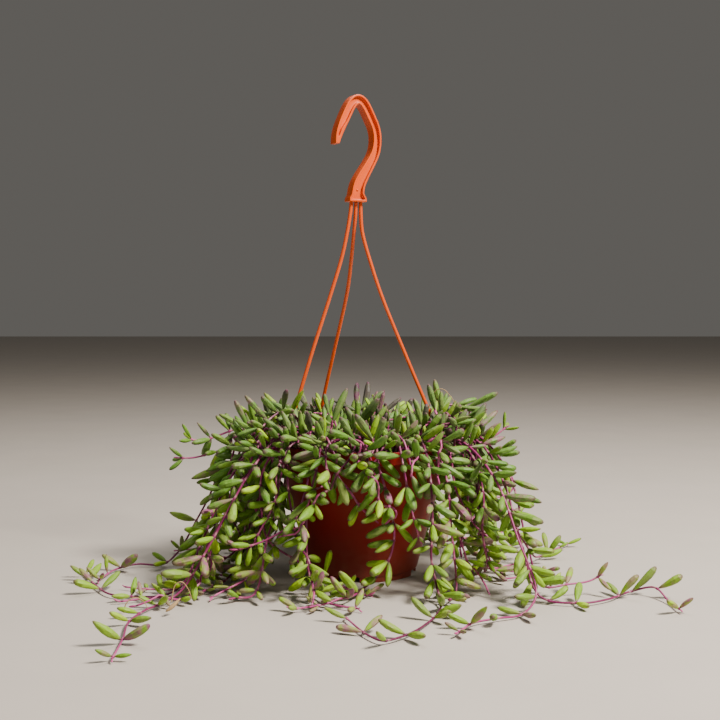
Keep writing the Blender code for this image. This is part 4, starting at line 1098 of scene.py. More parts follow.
class Stem:
    """A stem, the frames along it, and on it the leaves of the solids and the added ones."""

    def __init__(self, name, path, owner, steps):
        self.name = name
        self.owner = owner
        self.steps = steps
        self.settled = path
        self.path = straight_runs(path, steps)
        self.nodes = []
        self.added = []
        self.buds = []
        self.tangents, self.sides = frames_along(self.path)

    def smooth_out(self):
        """Follow the settled path from here on, without its straight runs."""
        self.path = self.settled
        self.tangents, self.sides = frames_along(self.path)

    def at(self, mark):
        """Place, tangent and side direction at a distance along the stem."""
        steps = mark / PATH_STEP
        i = min(int(steps), len(self.path) - 2)
        share = steps - i
        place = (1 - share) * self.path[i] + share * self.path[i + 1]
        tangent = unit((1 - share) * self.tangents[i] + share * self.tangents[i + 1])
        side = (1 - share) * self.sides[i] + share * self.sides[i + 1]
        return place, tangent, unit(side - side.dot(tangent) * tangent)

    def length(self):
        """Length of the stem along its path."""
        return (len(self.path) - 1) * PATH_STEP


class Leaf:
    """A spindle leaf: where it starts, its direction, length, half width and bend."""

    def __init__(self, start, direction, length, half, bend):
        self.start = start
        self.direction = direction
        self.length = length
        self.half = half
        self.bend = bend

    def centre(self, share):
        """Point on the leaf's bent middle line, at a share of its length."""
        run = self.direction * self.length * share
        return self.start + run + self.bend * self.length * share ** 2

    def balls(self):
        """Balls that cover the leaf, as centres and radii."""
        centres = np.array([self.centre(share) for share, _ in LEAF_BALLS])
        return centres, np.array([size * self.half for _, size in LEAF_BALLS])


def off_stem(tangent, side, angle):
    """Direction square to a stem, at an angle round it."""
    return math.cos(angle) * side + math.sin(angle) * np.cross(tangent, side)


def leaf_wish(place, tangent, normal, rng, habit, lean):
    """Direction that a leaf would take at this place on the plant."""
    radial = unit(np.array((place[0], place[1], 1e-3)))
    if place[2] > CROWN_LEVEL:
        outward, upward = CROWN_PULL[0] + habit["spread"], CROWN_PULL[1]
    elif place[2] > LOW_LEVEL:
        outward, upward = SIDE_PULL
    else:
        outward, upward = FLOOR_PULL
    jitter = np.array([rng.uniform(-habit["wilful"], habit["wilful"]) for _ in range(3)])
    pull = (upward - habit["droop"]) * UP + outward * radial
    return unit(AHEAD_PULL * tangent + OUTWARD_PULL * normal + np.array(lean) + pull + jitter)


def try_leaf(stem, mark, normal, size, room, rng, at_tip, habit=SOLID_HABIT):
    """A leaf clear of everything near it, or None."""
    place, tangent, _ = stem.at(mark)
    start = place + normal * STEM_RADIUS * LEAF_ROOT_SHARE
    length = size * rng.uniform(*LEAF_LENGTH)
    half = length * LEAF_SLENDER * rng.uniform(*LEAF_GIRTH)
    step = int(mark / PATH_STEP)
    ahead = unit(stem.path[step + 2] - stem.path[step])
    behind = unit(stem.path[step - 2] - stem.path[step])
    most_ahead = MOST_AHEAD_AT_TIP if at_tip else habit["ahead"]
    lean = NO_LEAN if habit is SOLID_HABIT else LEAF_LEAN.get(stem.name, NO_LEAN)
    for _ in range(habit["tries"]):
        direction = leaf_wish(place, tangent, normal, rng, habit, lean)
        bend = habit["bow"] * np.array([rng.uniform(*span) for span in BOW_SPANS])
        if direction.dot(normal) < LEAST_OUTWARD:
            continue
        if direction.dot(ahead) > most_ahead or direction.dot(behind) > MOST_BEHIND:
            continue
        leaf = Leaf(start, direction, length, half, bend)
        centres, radii = leaf.balls()
        if (centres[:, 2] - radii).min() < FLOOR_GAP:
            continue
        if (pot_distance(centres)[0] - radii).min() < CLEARANCE:
            continue
        if room.gap(centres[2:], radii[2:]) < habit["clearance"]:
            continue
        if room.gap(centres[:2], radii[:2], stem.owner) < habit["clearance"]:
            continue
        return leaf
    return None


def node_turn(place, tangent, side, turn, rng):
    """Turn of the stem's ring at a plant node; on the floor one face looks down."""
    if place[2] > LOW_LEVEL:
        return turn + rng.uniform(*NODE_TWIST)
    step = 2 * math.pi / STEM_SIDES
    wanted = math.atan2(-np.cross(tangent, side)[2], -side[2]) - step / 2
    return wanted + step * round((turn - wanted) / step)


def leaf_out(stem, room, rng):
    """Leaves of the solids at a stem's plant nodes, on its side faces and where there is room."""
    turn = rng.uniform(0, FIRST_TURN)
    for step in stem.steps:
        mark = step * PATH_STEP
        grown = []
        faces = list(range(STEM_SIDES))
        rng.shuffle(faces)
        place, tangent, side = stem.at(mark)
        turn_here = node_turn(place, tangent, side, turn, rng)
        size = min(1.0, YOUNG_SIZE + (stem.length() - mark) / YOUNG_REACH)
        for face in faces[:rng.choice(LEAVES_AT_NODE)]:
            angle = turn_here + (face + 0.5) * 2 * math.pi / STEM_SIDES
            normal = off_stem(tangent, side, angle)
            leaf = try_leaf(stem, mark, normal, size, room, rng, step == stem.steps[-1])
            if leaf:
                grown.append(leaf)
                room.take(*leaf.balls(), stem.owner)
        if grown:
            stem.nodes.append((mark, grown))
            turn = turn_here


def free_root(x, y, roots):
    """Nearest place in the soil that is clear of the roots already set."""
    for k in range(ROOT_TRIES):
        angle = k * GOLDEN_ANGLE
        reach = ROOT_SPIRAL * math.sqrt(k)
        place = np.array((x + reach * math.cos(angle), y + reach * math.sin(angle)))
        if np.hypot(*place) > ROOT_REACH:
            continue
        if all(np.hypot(*(place - root)) > ROOT_GAP for root in roots):
            return place
    return np.array((x, y))


def from_soil(root, points):
    """Points of a route with its straight start in the soil and its way over the rim."""
    start = SOIL_TOP - HOLE_DEPTH + ROOT_LIFT
    first = [(root[0], root[1], start), (root[0], root[1], SOIL_TOP + ROOT_RISE)]
    out = np.array(points[0][:2])
    if np.hypot(*out) > CREST_RADIUS + CREST_MARGIN:
        low, high = 0.0, 1.0
        for _ in range(CREST_HALVINGS):
            middle = (low + high) / 2
            if np.hypot(*(root + middle * (out - root))) < CREST_RADIUS:
                low = middle
            else:
                high = middle
        crest = root + low * (out - root)
        first.append((crest[0], crest[1], max(CREST_HEIGHT, points[0][2])))
    return first + [tuple(point) for point in points]


def spoke_points(angle, rows):
    """Points from (radius, height, drift) rows, each turned off a spoke by its drift."""
    return [(radius * math.cos(angle + drift), radius * math.sin(angle + drift), height)
            for radius, height, drift in rows]


def ruled_route(azimuth, lying, rng):
    """Root, and way over the rim, down beside the pot and out along the floor."""
    angle = math.radians(azimuth + rng.uniform(-AZIMUTH_JITTER, AZIMUTH_JITTER))
    sway = rng.uniform(-TRAIL_SWAY, TRAIL_SWAY)
    rows = [(rng.uniform(*TRAIL_ROOT), 0.0, rng.uniform(-TRAIL_ROOT_DRIFT, TRAIL_ROOT_DRIFT))]
    for part, (radii, heights) in ((3, TRAIL_CREST), (2, TRAIL_SHOULDER), (1, TRAIL_HANG)):
        rows.append((rng.uniform(*radii), rng.uniform(*heights), sway / part))
    landing = rows[-1][0] + rng.uniform(*TRAIL_LANDING)
    rows.append((landing, TRAIL_LANDING_HEIGHT, sway * 1.5))
    curl = rng.uniform(-TRAIL_CURL, TRAIL_CURL)
    pieces = max(1, round(lying / TRAIL_RUN))
    for k in range(1, pieces + 1):
        rows.append((landing + lying * k / pieces, STEM_LYING, sway * 1.5 + curl * k))
    root, *route = spoke_points(angle, rows)
    return root[:2], route


def crown_route(index, rng):
    """Root, and way of a short stem that leans out of the middle of the pot."""
    angle = index * GOLDEN_ANGLE + CROWN_TURN
    radius = CROWN_RADIUS * math.sqrt((index + CROWN_ROOT_SHIFT) / CROWN_SHOOTS)
    height = rng.uniform(*CROWN_TOP) - CROWN_SLOPE * radius
    drift = rng.uniform(-CROWN_DRIFT, CROWN_DRIFT)
    heights = (CROWN_BASE, height, height + rng.uniform(*CROWN_TIP_RISE))
    bends = [(radius + lean, level, drift * share)
             for (lean, share), level in zip(CROWN_BENDS, heights)]
    root, *route = spoke_points(angle, [(radius, 0, 0.0), *bends])
    return root[:2], route


def plan_plant(room, rng):
    """Routes of all stems, settled clear of each other, and then their leaves."""
    roots = []
    stems = []
    routes = [(name, points[0], points[1:]) for name, points in TRAILS.items()]
    for k, (azimuth, lying) in enumerate(RULE_TRAILS):
        root, route = ruled_route(azimuth, lying, rng)
        routes.append((f"stem_trail_{k + 1:02d}", root, route))
    for k in range(CROWN_SHOOTS):
        root, route = crown_route(k, rng)
        routes.append((f"stem_crown_{k + 1:02d}", root, route))
    for owner, (name, root, route) in enumerate(routes):
        root = free_root(root[0], root[1], roots)
        roots.append(root)
        path = settle(curve_through(from_soil(root, route), PATH_STEP), room)
        stem = Stem(name, path, owner, leaf_steps(path, rng))
        stems.append(stem)
        room.take(stem.path[HELD_STEPS:], STEM_RADIUS, owner)
    for stem in stems:
        leaf_out(stem, room, rng)
    return stems


def hook_place(across, height, depth):
    """Point of the hook from its place on its own flat side, in metres."""
    turn = math.radians(HOOK_TURN)
    return Vector((across * math.cos(turn) - depth * math.sin(turn),
                   across * math.sin(turn) + depth * math.cos(turn), height)) * MM


def hook_faces(hook, wanted):
    """Faces of the hook that are wanted, after the whole of it is unselected."""
    bpy.ops.object.mode_set(mode="OBJECT")
    unselect_mesh(hook)
    return [face for face in hook.data.polygons if wanted(face)]


def make_hook(finish):
    """Hook pressed out of its outline, with a parting line and a groove in both flat sides."""
    line = curve_through(HOOK_LINE, 1.0)
    marks = np.linspace(0, len(line) - 1, HOOK_ROWS)
    line = read_line(marks, np.arange(len(line)), line)
    for _ in range(HOOK_SMOOTHING):
        line[1:-1] = (line[:-2] + 2 * line[1:-1] + line[2:]) / 4
    line = np.vstack((line, HOOK_FLARE))
    runs = unit_rows(np.gradient(line[:, :2], axis=0))
    runs[0] = (0.0, 1.0)
    runs[-len(HOOK_FLARE):] = (0.0, -1.0)
    rows = len(line)
    deselect()
    bpy.ops.mesh.primitive_grid_add(x_subdivisions=3, y_subdivisions=rows - 1, size=MM)
    hook = bpy.context.object
    corners = sorted(hook.data.vertices, key=lambda v: (round(v.co.y, 9), v.co.x))
    for k, ((across, height, half), (run, climb)) in enumerate(zip(line, runs)):
        opened = min(1.0, max(GROOVE_LEAST, (k - GROOVE_START) / GROOVE_POINT))
        groove = (half - HOOK_RIB) * opened
        for corner, offset in zip(corners[4 * k:4 * k + 4], (-half, -groove, groove, half)):
            corner.co = hook_place(across + offset * climb, height - offset * run,
                                   HOOK_THICKNESS / 2)
    front = hook_place(0, 0, -1).normalized()
    bpy.ops.object.mode_set(mode="EDIT")
    bpy.ops.mesh.select_all(action="SELECT")
    flat = (HOOK_THICKNESS - PARTING_WIDTH) / 2
    for depth in (flat, PARTING_WIDTH, flat):
        bpy.ops.mesh.extrude_region_move(TRANSFORM_OT_translate={"value": front * depth * MM})
    bpy.ops.mesh.select_all(action="SELECT")
    bpy.ops.mesh.normals_make_consistent(inside=False)
    along = hook_place(1, 0, 0) / MM
    for outward in (front, -front):
        for face in hook_faces(hook, lambda f: f.normal.dot(outward) > 0.9):
            away = np.hypot(line[:, 0] - face.center.dot(along) / MM,
                            line[:, 1] - face.center.z / MM)
            row = int(np.argmin(away))
            face.select = bool(away[row] < HOOK_RIB and GROOVE_START <= row < rows - GROOVE_END)
        bpy.ops.object.mode_set(mode="EDIT")
        bpy.ops.mesh.extrude_region_move(
            TRANSFORM_OT_translate={"value": -outward * HOOK_RECESS * MM})
    bpy.ops.object.mode_set(mode="OBJECT")
    round_edges(hook, HOOK_ROUNDING, angle=40.0)
    for face in hook_faces(hook, lambda f: abs(f.normal.dot(front)) < 0.5
                           and abs(f.center.dot(front)) < PARTING_WIDTH * MM / 2):
        face.select = True
    bpy.ops.object.mode_set(mode="EDIT")
    bpy.ops.transform.shrink_fatten(value=PARTING_RISE * MM, use_even_offset=False)
    across, height, radius = GATE_MARK
    deselect()
    bpy.ops.mesh.primitive_uv_sphere_add(
        segments=16, ring_count=8, radius=radius * MM,
        location=hook_place(across, height, HOOK_RECESS - HOOK_THICKNESS / 2))
    hook = join_all([hook, bpy.context.object])
    settle_piece(hook, "moulded_hook", finish, angle=40.0)
    return hook


def draw_tube(points, radii, resolution):
    """Round tube through points in millimetres, with a radius at each."""
    deselect()
    bpy.ops.curve.primitive_nurbs_path_add()
    curve = bpy.context.object
    curve.data.splines.clear()
    spline = curve.data.splines.new("POLY")
    spline.points.add(len(points) - 1)
    places = np.column_stack((points * MM, np.ones(len(points))))
    spline.points.foreach_set("co", places.ravel())
    spline.points.foreach_set("radius", radii)
    curve.data.bevel_depth = MM
    curve.data.bevel_resolution = resolution
    curve.data.use_fill_caps = True
    bpy.ops.object.convert(target="MESH")
    return bpy.context.object


def make_strand(name, azimuth, points, finish):
    """Hanger strand with its peg through the rim band and the button that holds it."""
    path, outward = strand_path(azimuth, points)
    low = HANGER_HOLE_HEIGHT * UP
    outside = RIM_RADIUS + SOIL_GAP
    path = np.vstack((path[::2], [outside * outward + low]))
    tube = draw_tube(path, np.full(len(path), STRAND_RADIUS), STRAND_RESOLUTION)
    deselect()
    bpy.ops.mesh.primitive_cylinder_add(
        vertices=ROUND_SIDES, radius=BUTTON_RADIUS * MM, depth=BUTTON_LENGTH * MM,
        location=((outside + BUTTON_LENGTH / 2) * outward + low) * MM,
        rotation=(0.0, math.pi / 2, math.radians(azimuth)))
    button = bpy.context.object
    round_edges(button, BUTTON_ROUNDING)
    strand = join_all([tube, button])
    settle_piece(strand, name, finish, angle=50.0)
    return strand


def fill_marks(stem, rng):
    """Distances along a stem at which leaves are added, and how many leaves each takes."""
    marks = []
    bare = BARE_SHARE.get(stem.name, NOT_BARE)
    for low, high in zip(stem.steps, stem.steps[1:]):
        if bare[0] < low / len(stem.path) < bare[1]:
            continue
        x, y, z = stem.path[(low + high) // 2]
        reach = math.hypot(x, y)
        if z > CROWN_LEVEL and reach < CROWN_EDGE:
            wanted, choice = CROWN_FILL, FILL_LEAVES
        elif z > LOW_LEVEL:
            wanted, choice = CURTAIN_FILL, FILL_LEAVES
        elif reach < FAR_REACH:
            wanted, choice = FLOOR_FILL, FILL_LEAVES
        else:
            wanted, choice = FAR_FILL, FAR_LEAVES
        count = round((high - low) * PATH_STEP / wanted)
        for k in range(1, count):
            share = (k + rng.uniform(-FILL_JITTER, FILL_JITTER)) / count
            marks.append(((low + (high - low) * share) * PATH_STEP, rng.choice(choice)))
    return marks


def fill_out(stem, room, rng, habit=FILL_HABIT):
    """Leaves that stand between those of the solids, and the buds at the growing tip."""
    turn = rng.uniform(0, 2 * math.pi)
    for mark, count in fill_marks(stem, rng):
        place, tangent, side = stem.at(mark)
        turn += GOLDEN_ANGLE
        youth_size, youth_reach = FAR_YOUNG if place[2] < LOW_LEVEL else (YOUNG_SIZE, YOUNG_REACH)
        size = min(1.0, youth_size + (stem.length() - mark) / youth_reach)
        size *= rng.uniform(*FILL_SIZE)
        if habit is SHOOT_HABIT:
            size = rng.uniform(*SHOOT_SIZE)
        grown = []
        for k in range(count):
            angle = turn + k * 2 * math.pi / count + rng.uniform(-FILL_TURN, FILL_TURN)
            normal = off_stem(tangent, side, angle)
            leaf = try_leaf(stem, mark, normal, size, room, rng, False, habit)
            if leaf:
                grown.append(leaf)
                room.take(*leaf.balls(), stem.owner)
        if grown:
            stem.added.append((mark, grown))
    mark = stem.length() - PATH_STEP
    place, tangent, side = stem.at(mark)
    for k in range(2):
        normal = off_stem(tangent, side, turn + k * math.pi)
        length = rng.uniform(*BUD_LENGTH) / (1 + k)
        half = length * BUD_SLENDER
        direction = unit(tangent + rng.uniform(*BUD_LEAN) * normal)
        if place[2] + direction[2] * length > half + FLOOR_GAP:
            stem.buds.append(Leaf(place, direction, length, half, BUD_BEND * normal))


def crown_shoot_route(index, rng):
    """Route of an added shoot that stands in the crown."""
    angle = index * GOLDEN_ANGLE + ADDED_TURN + rng.uniform(-ADDED_JITTER, ADDED_JITTER)
    drift = rng.uniform(-ADDED_DRIFT, ADDED_DRIFT)
    share = math.sqrt((index + 0.1) / CROWN_SHOOTS_ADDED)
    radius = CROWN_SPREAD[0] + CROWN_SPREAD[1] * share
    top = rng.uniform(*CROWN_ADDED_TOP) - CROWN_ADDED_SLOPE * radius ** 2
    if CREST_DIP[0] < radius * math.cos(angle) < CREST_DIP[1]:
        top -= CREST_DIP[2]
    lean = rng.uniform(*CROWN_ADDED_LEAN)
    return spoke_points(angle, [
        (radius, SHOOT_START, 0.0), (radius + 1, SHOOT_BASE, drift * 0.2),
        (radius + 0.5 * lean, 0.5 * (top + 108), drift * 0.6), (radius + lean, top, drift)])


def rim_shoot_route(index, rng):
    """Route of a short added shoot that hangs over the rim."""
    angle = index * GOLDEN_ANGLE + ADDED_TURN + rng.uniform(-ADDED_JITTER, ADDED_JITTER)
    drift = rng.uniform(-ADDED_DRIFT, ADDED_DRIFT)
    low = rng.uniform(*RIM_END[1])
    out = rng.uniform(*RIM_END[0])
    start = rng.uniform(*RIM_START)
    heights = (RIM_BASE, rng.uniform(*RIM_CREST), rng.uniform(*RIM_SHOULDER))
    bends = [(radius, level, drift * share)
             for (radius, share), level in zip(RIM_BENDS, heights)]
    return spoke_points(angle, [(start, SHOOT_START, 0.0), *bends, (out, low, drift)])


def hanging_route(azimuth, rng):
    """Route of an added stem that hangs over the rim and wanders across the others."""
    wander = rng.uniform(-HANGING_WANDER, HANGING_WANDER)
    low = rng.uniform(*HANGING_END)
    at_right = abs(azimuth) < HANGING_RIGHT
    out = rng.uniform(*(HANGING_REACH_RIGHT if at_right else HANGING_REACH))
    crest = rng.uniform(*HANGING_CREST)
    rows = [(rng.uniform(*HANGING_START), SHOOT_START, wander * HANGING_ROOT_SHARE)]
    rows += [(radius, crest + above, wander * share) for radius, above, share in HANGING_BENDS]
    knee_radius, knee_height, knee_share = HANGING_KNEE
    rows.append((0.5 * (out + knee_radius), 0.5 * (low + knee_height), wander * knee_share))
    rows.append((out, low, wander))
    if low < LYING_BELOW:
        rows.append((out + rng.uniform(*LYING_REACH), STEM_LYING,
                     wander * (1.0 + rng.uniform(0.0, LYING_WANDER))))
    return spoke_points(math.radians(azimuth), rows)


def middle_route(index, rng):
    """Route of a low shoot that hides the soil in the middle of the crown."""
    angle = index * GOLDEN_ANGLE + rng.uniform(-ADDED_JITTER, ADDED_JITTER)
    radius = MIDDLE_RADIUS * math.sqrt((index + 0.3) / MIDDLE_SHOOTS)
    top = rng.uniform(*MIDDLE_TOP)
    lean = rng.uniform(*MIDDLE_LEAN)
    return spoke_points(angle, [
        (radius, SHOOT_START, 0.0), (radius + 0.5, SHOOT_BASE, 0.0),
        (radius + 0.4 * lean, 0.5 * (top + SHOOT_BASE), 0.0), (radius + lean, top, 0.0)])


def cover_route(azimuth, rng):
    """Route of a short shoot that covers the rim where the photo shows it covered."""
    angle = math.radians(azimuth + rng.uniform(-AZIMUTH_JITTER, AZIMUTH_JITTER))
    return spoke_points(angle, [(radius, height, 0.0) for radius, height in COVER_PROFILE])


def raise_shoot(name, route, owner, room):
    """Stem of an added shoot, settled clear of the others."""
    path = settle(curve_through(route, PATH_STEP), room)
    shoot = Stem(name, path, owner, [HELD_STEPS, len(path) - 3])
    shoot.smooth_out()
    room.take(shoot.path, STEM_RADIUS, owner)
    return shoot


def leaf_shoot(shoot, room, rng):
    """Leaves of an added shoot; a short one ends just above its last leaf."""
    short = shoot.name in SHORT_SHOOTS
    fill_out(shoot, room, rng, SHOOT_HABIT if short else HANGING_HABIT)
    if shoot.added and short:
        shoot.path = shoot.path[:int(shoot.added[-1][0] / PATH_STEP) + 3]
        shoot.buds.clear()


def grow_shoots(room, rng):
    """Stems of the added shoots with their leaves."""
    routes = list(SHOWN_SHOOTS.items())
    routes += [("hanging_shoots", hanging_route(azimuth, rng)) for azimuth in HANGING_AZIMUTHS]
    routes += [("crown_shoots", crown_shoot_route(index, rng))
               for index in range(CROWN_SHOOTS_ADDED)]
    routes += [("rim_shoots", rim_shoot_route(CROWN_SHOOTS_ADDED + index, rng))
               for index in range(RIM_SHOOTS_ADDED)]
    routes += [("rim_shoots", cover_route(azimuth, rng)) for azimuth in COVER_AZIMUTHS]
    shoots = [raise_shoot(name, route, SHOOT_FIRST_OWNER + index, room)
              for index, (name, route) in enumerate(routes)]
    for shoot in shoots:
        leaf_shoot(shoot, room, rng)
    middle_rng = random.Random(MIDDLE_SEED)
    for index in range(MIDDLE_SHOOTS):
        shoot = raise_shoot("middle_shoots", middle_route(index, middle_rng),
                            SHOOT_FIRST_OWNER + len(shoots), room)
        shoot.steps = [MIDDLE_FIRST_LEAF, len(shoot.path) - 2]
        leaf_shoot(shoot, room, middle_rng)
        shoots.append(shoot)
    return [shoot for shoot in shoots if shoot.added]


def stem_tube(stem, shade):
    """Round stem with swollen, paler joints where leaves grow, and painted shade in the crown."""
    length = stem.length()
    joints = np.array([mark for mark, _ in stem.nodes + stem.added])
    rings = np.arange(0.0, length, PATH_STEP)
    close = np.concatenate([joints + step for step in (-NODE_REACH, 0.0, NODE_REACH)])
    far = np.abs(rings[:, None] - joints[None]).min(axis=1) > NODE_MARGIN * NODE_REACH
    marks = np.sort(np.concatenate((rings[far], close)))
    kept = (marks > FIRST_RING) & (marks < length - LAST_RING)
    marks = np.append(marks[kept], length)
    marks = marks[np.append(True, np.diff(marks) > LEAST_RING_GAP)]
    points = read_line(marks, np.arange(len(stem.path)) * PATH_STEP, stem.path)
    steps = np.linalg.norm(np.diff(points, axis=0), axis=1)
    apart = np.append(True, steps > LEAST_RING_STEP)
    marks, points = marks[apart], points[apart]
    near = np.abs(marks[:, None] - joints[None]).min(axis=1)
    swell = np.exp(-(near / NODE_REACH) ** 2)
    grown = np.clip((length - marks) / length, 0.0, 1.0)
    radii = STEM_RADII[1] + (STEM_RADII[0] - STEM_RADII[1]) * grown + NODE_SWELL * swell
    radii[-1] *= STEM_TIP
    tube = draw_tube(points, radii, STEM_RESOLUTION)
    youth = np.clip(1 - (length - marks) / STEM_YOUTH, 0.0, 1.0) ** 1.5
    reach = np.hypot(points[:, 0], points[:, 1])
    # Painted shade: stems low in the crown and down beside the pot darken and lose their pale
    # joints
    inside = rise(points[:, 2], *SHADE_LEVEL) * rise(reach, *SHADE_REACH)
    joint = JOINT_PALENESS * swell ** 3 * (1 - inside)
    tone = np.column_stack((joint, youth, np.maximum(inside, shade), youth))
    rings_and_caps = np.vstack((tone, tone[[0, -1]]))
    write_tone(tube.data, np.repeat(rings_and_caps, 2 * STEM_RESOLUTION + 4, axis=0))
    tube.data.materials.append(STEM_SKIN)
    bpy.ops.object.shade_smooth()
    return tube


def write_tone(mesh, values):
    """Store four values a vertex for the materials to read."""
    layer = mesh.color_attributes.get("tone")
    if layer is None:
        layer = mesh.color_attributes.new(name="tone", type="FLOAT_COLOR", domain="POINT")
    layer.data.foreach_set("color", np.asarray(values, np.float32).ravel())


def model_leaf(name, outline, finish):
    """Upright leaf of unit length and half width, its rings drawn in to the outline."""
    deselect()
    bpy.ops.mesh.primitive_uv_sphere_add(
        segments=LEAF_SEGMENTS, ring_count=len(outline) + 1, radius=0.5, location=(0, 0, 0.5))
    leaf = bpy.context.object
    leaf.name = leaf.data.name = name
    heights = sorted({round(v.co.z, 5) for v in leaf.data.vertices})[1:-1]
    rings = [[v.index for v in leaf.data.vertices if abs(v.co.z - height) < 1e-4]
             for height in heights]
    for ring, height, (share, half) in zip(rings, heights, outline):
        bpy.ops.object.mode_set(mode="OBJECT")
        unselect_mesh(leaf)
        for index in ring:
            leaf.data.vertices[index].select = True
        radius = leaf.data.vertices[ring[0]].co.xy.length
        bpy.ops.object.mode_set(mode="EDIT")
        bpy.ops.mesh.select_mode(type="VERT")
        bpy.ops.transform.resize(value=(half / radius, LEAF_FLATNESS * half / radius, 1.0))
        bpy.ops.transform.translate(value=(0.0, 0.0, share - 0.5 - height))
    settle_piece(leaf, name, finish)
    bpy.ops.object.shade_smooth()
    write_tone(leaf.data, np.zeros((len(leaf.data.vertices), 4)))
    return leaf


def copy_leaf(model, leaf, tone):
    """Copy of a leaf model with its own mesh, bent along the leaf's middle line."""
    mesh = model.data.copy()
    flat = np.empty(len(mesh.vertices) * 3)
    mesh.vertices.foreach_get("co", flat)
    x, y, share = flat.reshape(-1, 3).T
    axis = unit_rows(leaf.direction + 2 * share[:, None] * leaf.bend)
    level = unit(np.cross(leaf.direction, LEVEL_GUIDE))
    across = unit_rows(level - (axis @ level)[:, None] * axis)
    through = np.cross(axis, across)
    centres = (leaf.start + np.outer(share, leaf.direction * leaf.length)
               + np.outer(share ** 2, leaf.bend * leaf.length))
    height = rise(leaf.centre(0.5)[2], SOIL_TOP, CROWN_SLIM_LEVEL)
    half = leaf.half * (LEAF_SLIM + (CROWN_SLIM - LEAF_SLIM) * height)
    places = centres + half * (x[:, None] * across + y[:, None] * through)
    mesh.vertices.foreach_set("co", (places * MM).ravel())
    write_tone(mesh, np.column_stack((share, *[np.full(len(share), value) for value in tone])))
    made = bpy.data.objects.new("leaf", mesh)
    bpy.context.scene.collection.objects.link(made)
    return made


def leaf_tone(leaf, to_tip, rng):
    """Youth, flush and crown share of a leaf, from its place, its way to the tip and chance."""
    x, y, z = leaf.centre(0.5)
    crown = rise(z, *CROWN_TONE_RISE) * rise(math.hypot(x, y), *CROWN_TONE_REACH)
    youth = YOUTH[0] + YOUTH[1] * rise(z, *LOW_TONE) + rng.uniform(*YOUTH_CHANCE)
    dark = rng.random() < DARK_SHARE[0] + DARK_SHARE[1] * rise(y, *BACK_TONE)
    crown *= rng.uniform(*(DARK_LEAF if dark else LIGHT_LEAF))
    if rng.random() < FRESH_SHARE:
        youth += FRESH_YOUTH
        crown *= FRESH_CROWN
    flush = rng.uniform(*FLUSH)
    near_tip = to_tip < FLUSHED_REACH and z < FLUSHED_LEVEL
    if rng.random() < (FLUSHED_TIPS if near_tip else FLUSHED_OTHERS):
        flush += rng.uniform(*DEEP_FLUSH)
    return min(1.0, max(0.0, youth)), flush, crown


def dress_stem(stem, models, rng):
    """One piece of a stem and all its leaves."""
    pieces = [stem_tube(stem, rng.random())]
    for mark, grown in stem.nodes + stem.added:
        for leaf in grown:
            tone = leaf_tone(leaf, stem.length() - mark, rng)
            pieces.append(copy_leaf(rng.choice(models), leaf, tone))
    for bud in stem.buds:
        made = copy_leaf(rng.choice(models), bud, (1.0, 0.0, 0.0))
        write_tone(made.data, np.tile((0.0, 1.0, 0.0, 1.0), (len(made.data.vertices), 1)))
        made.data.materials[0] = STEM_SKIN
        pieces.append(made)
    piece = join_all(pieces)
    piece.name = piece.data.name = "leafy_" + stem.name
    return piece


def make_dry_bits(model, finish):
    """Dead stems and a withered leaf, as one piece."""
    pieces = []
    for points in DRY_THREADS:
        path = curve_through(points, PATH_STEP)
        pieces.append(draw_tube(path, np.linspace(DRY_RADIUS, DRY_RADIUS / 2, len(path)), 1))
    place, direction, bend, length, half = DRY_LEAF
    withered = Leaf(np.array(place), unit(np.array(direction)), length, half, np.array(bend))
    pieces.append(copy_leaf(model, withered, (0.0, 0.0, 0.0)))
    piece = join_all(pieces)
    settle_piece(piece, "dry_threads", finish, angle=50.0)
    return piece


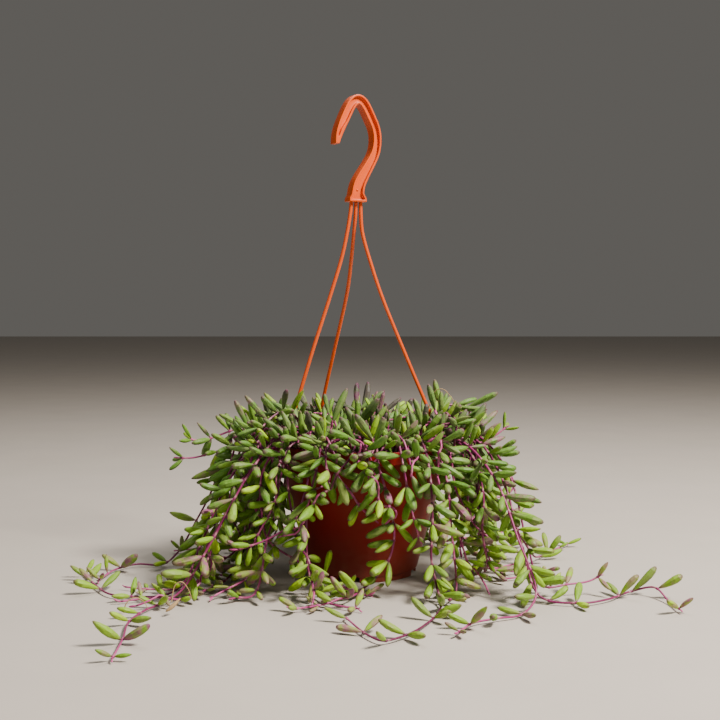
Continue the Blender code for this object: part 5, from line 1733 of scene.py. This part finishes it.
def place_studio():
    """Camera, soft lights and the pale floor."""
    world = bpy.data.worlds.new("studio_air")
    world.use_nodes = True
    air = world.node_tree.nodes["Background"]
    colour, strength = STUDIO_AIR
    feed(world.node_tree, air, {"Color": linear(colour), "Strength": strength})
    bpy.context.scene.world = world
    deselect()
    bpy.ops.object.camera_add(
        location=CAMERA_PLACE_M, rotation=(math.radians(90 - CAMERA_TILT), 0.0, 0.0))
    camera = bpy.context.object
    camera.name = "camera"
    camera.data.lens = CAMERA_LENS
    camera.data.sensor_width = CAMERA_SENSOR
    bpy.context.scene.camera = camera
    for name, (place, size, power, colour) in SOFTBOXES_M.items():
        aim = Vector(SOFTBOX_AIM_M) - Vector(place)
        deselect()
        bpy.ops.object.light_add(
            type="AREA", location=place, rotation=aim.to_track_quat("-Z", "Y").to_euler())
        light = bpy.context.object
        light.name = name
        light.data.size = size
        light.data.energy = power
        light.data.color = linear(colour)[:3]
    deselect()
    bpy.ops.mesh.primitive_plane_add(size=FLOOR_SIDE_M, location=(0.0, 0.0, 0.0))
    floor = bpy.context.object
    settle_piece(floor, "studio_floor", studio_paper())


place_studio()
POT_PLASTIC = pot_polypropylene()
HANGER_PLASTIC = hanger_polypropylene()
PEAT = damp_peat()
LEAF_SKIN = leaf_skin()
STEM_SKIN = stem_skin()
DRY_FIBRE = dry_fibre()

pot = make_pot(POT_PLASTIC)
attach(pot, "root")
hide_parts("pot")

soil = make_soil(PEAT, random.Random(SEED))
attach(soil, "root")
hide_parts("soil")

hook = make_hook(HANGER_PLASTIC)
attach(hook, "root")
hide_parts("hanger_hook")

room = Room()
for index, (node, (azimuth, points)) in enumerate(STRANDS.items()):
    strand_name = node.replace("hanger_", "moulded_")
    strand = make_strand(strand_name, azimuth, points, HANGER_PLASTIC)
    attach(strand, "root")
    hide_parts(node)
    path, _ = strand_path(azimuth, points)
    button = ((RIM_RADIUS + BUTTON_LENGTH * 0.75) * unit(path[-1] * (1, 1, 0))
              + HANGER_HOLE_HEIGHT * UP)
    room.take(path[::2], STRAND_RADIUS + STRAND_MARGIN, FIRST_STRAND_OWNER - index)
    room.take(button[None], BUTTON_RADIUS + STRAND_MARGIN, FIRST_STRAND_OWNER - index)

stems = plan_plant(room, random.Random(SEED))
models = [model_leaf(name + "_leaf", outline, LEAF_SKIN)
          for name, outline in LEAF_OUTLINES.items()]
chance = random.Random(FILL_SEED)
for stem in stems:
    stem.smooth_out()
for stem in stems:
    fill_out(stem, room, chance)
shoots = grow_shoots(room, chance)
for stem in stems:
    piece = dress_stem(stem, models, chance)
    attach(piece, "root")
    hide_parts(stem.name)
for name, members in SHOOT_PIECES.items():
    piece = join_all([dress_stem(shoot, models, chance) for shoot in shoots
                      if shoot.name in members])
    piece.name = piece.data.name = name
    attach(piece, "root")
dry = make_dry_bits(models[-1], DRY_FIBRE)
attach(dry, "root")
for model in models:
    bpy.data.objects.remove(model)
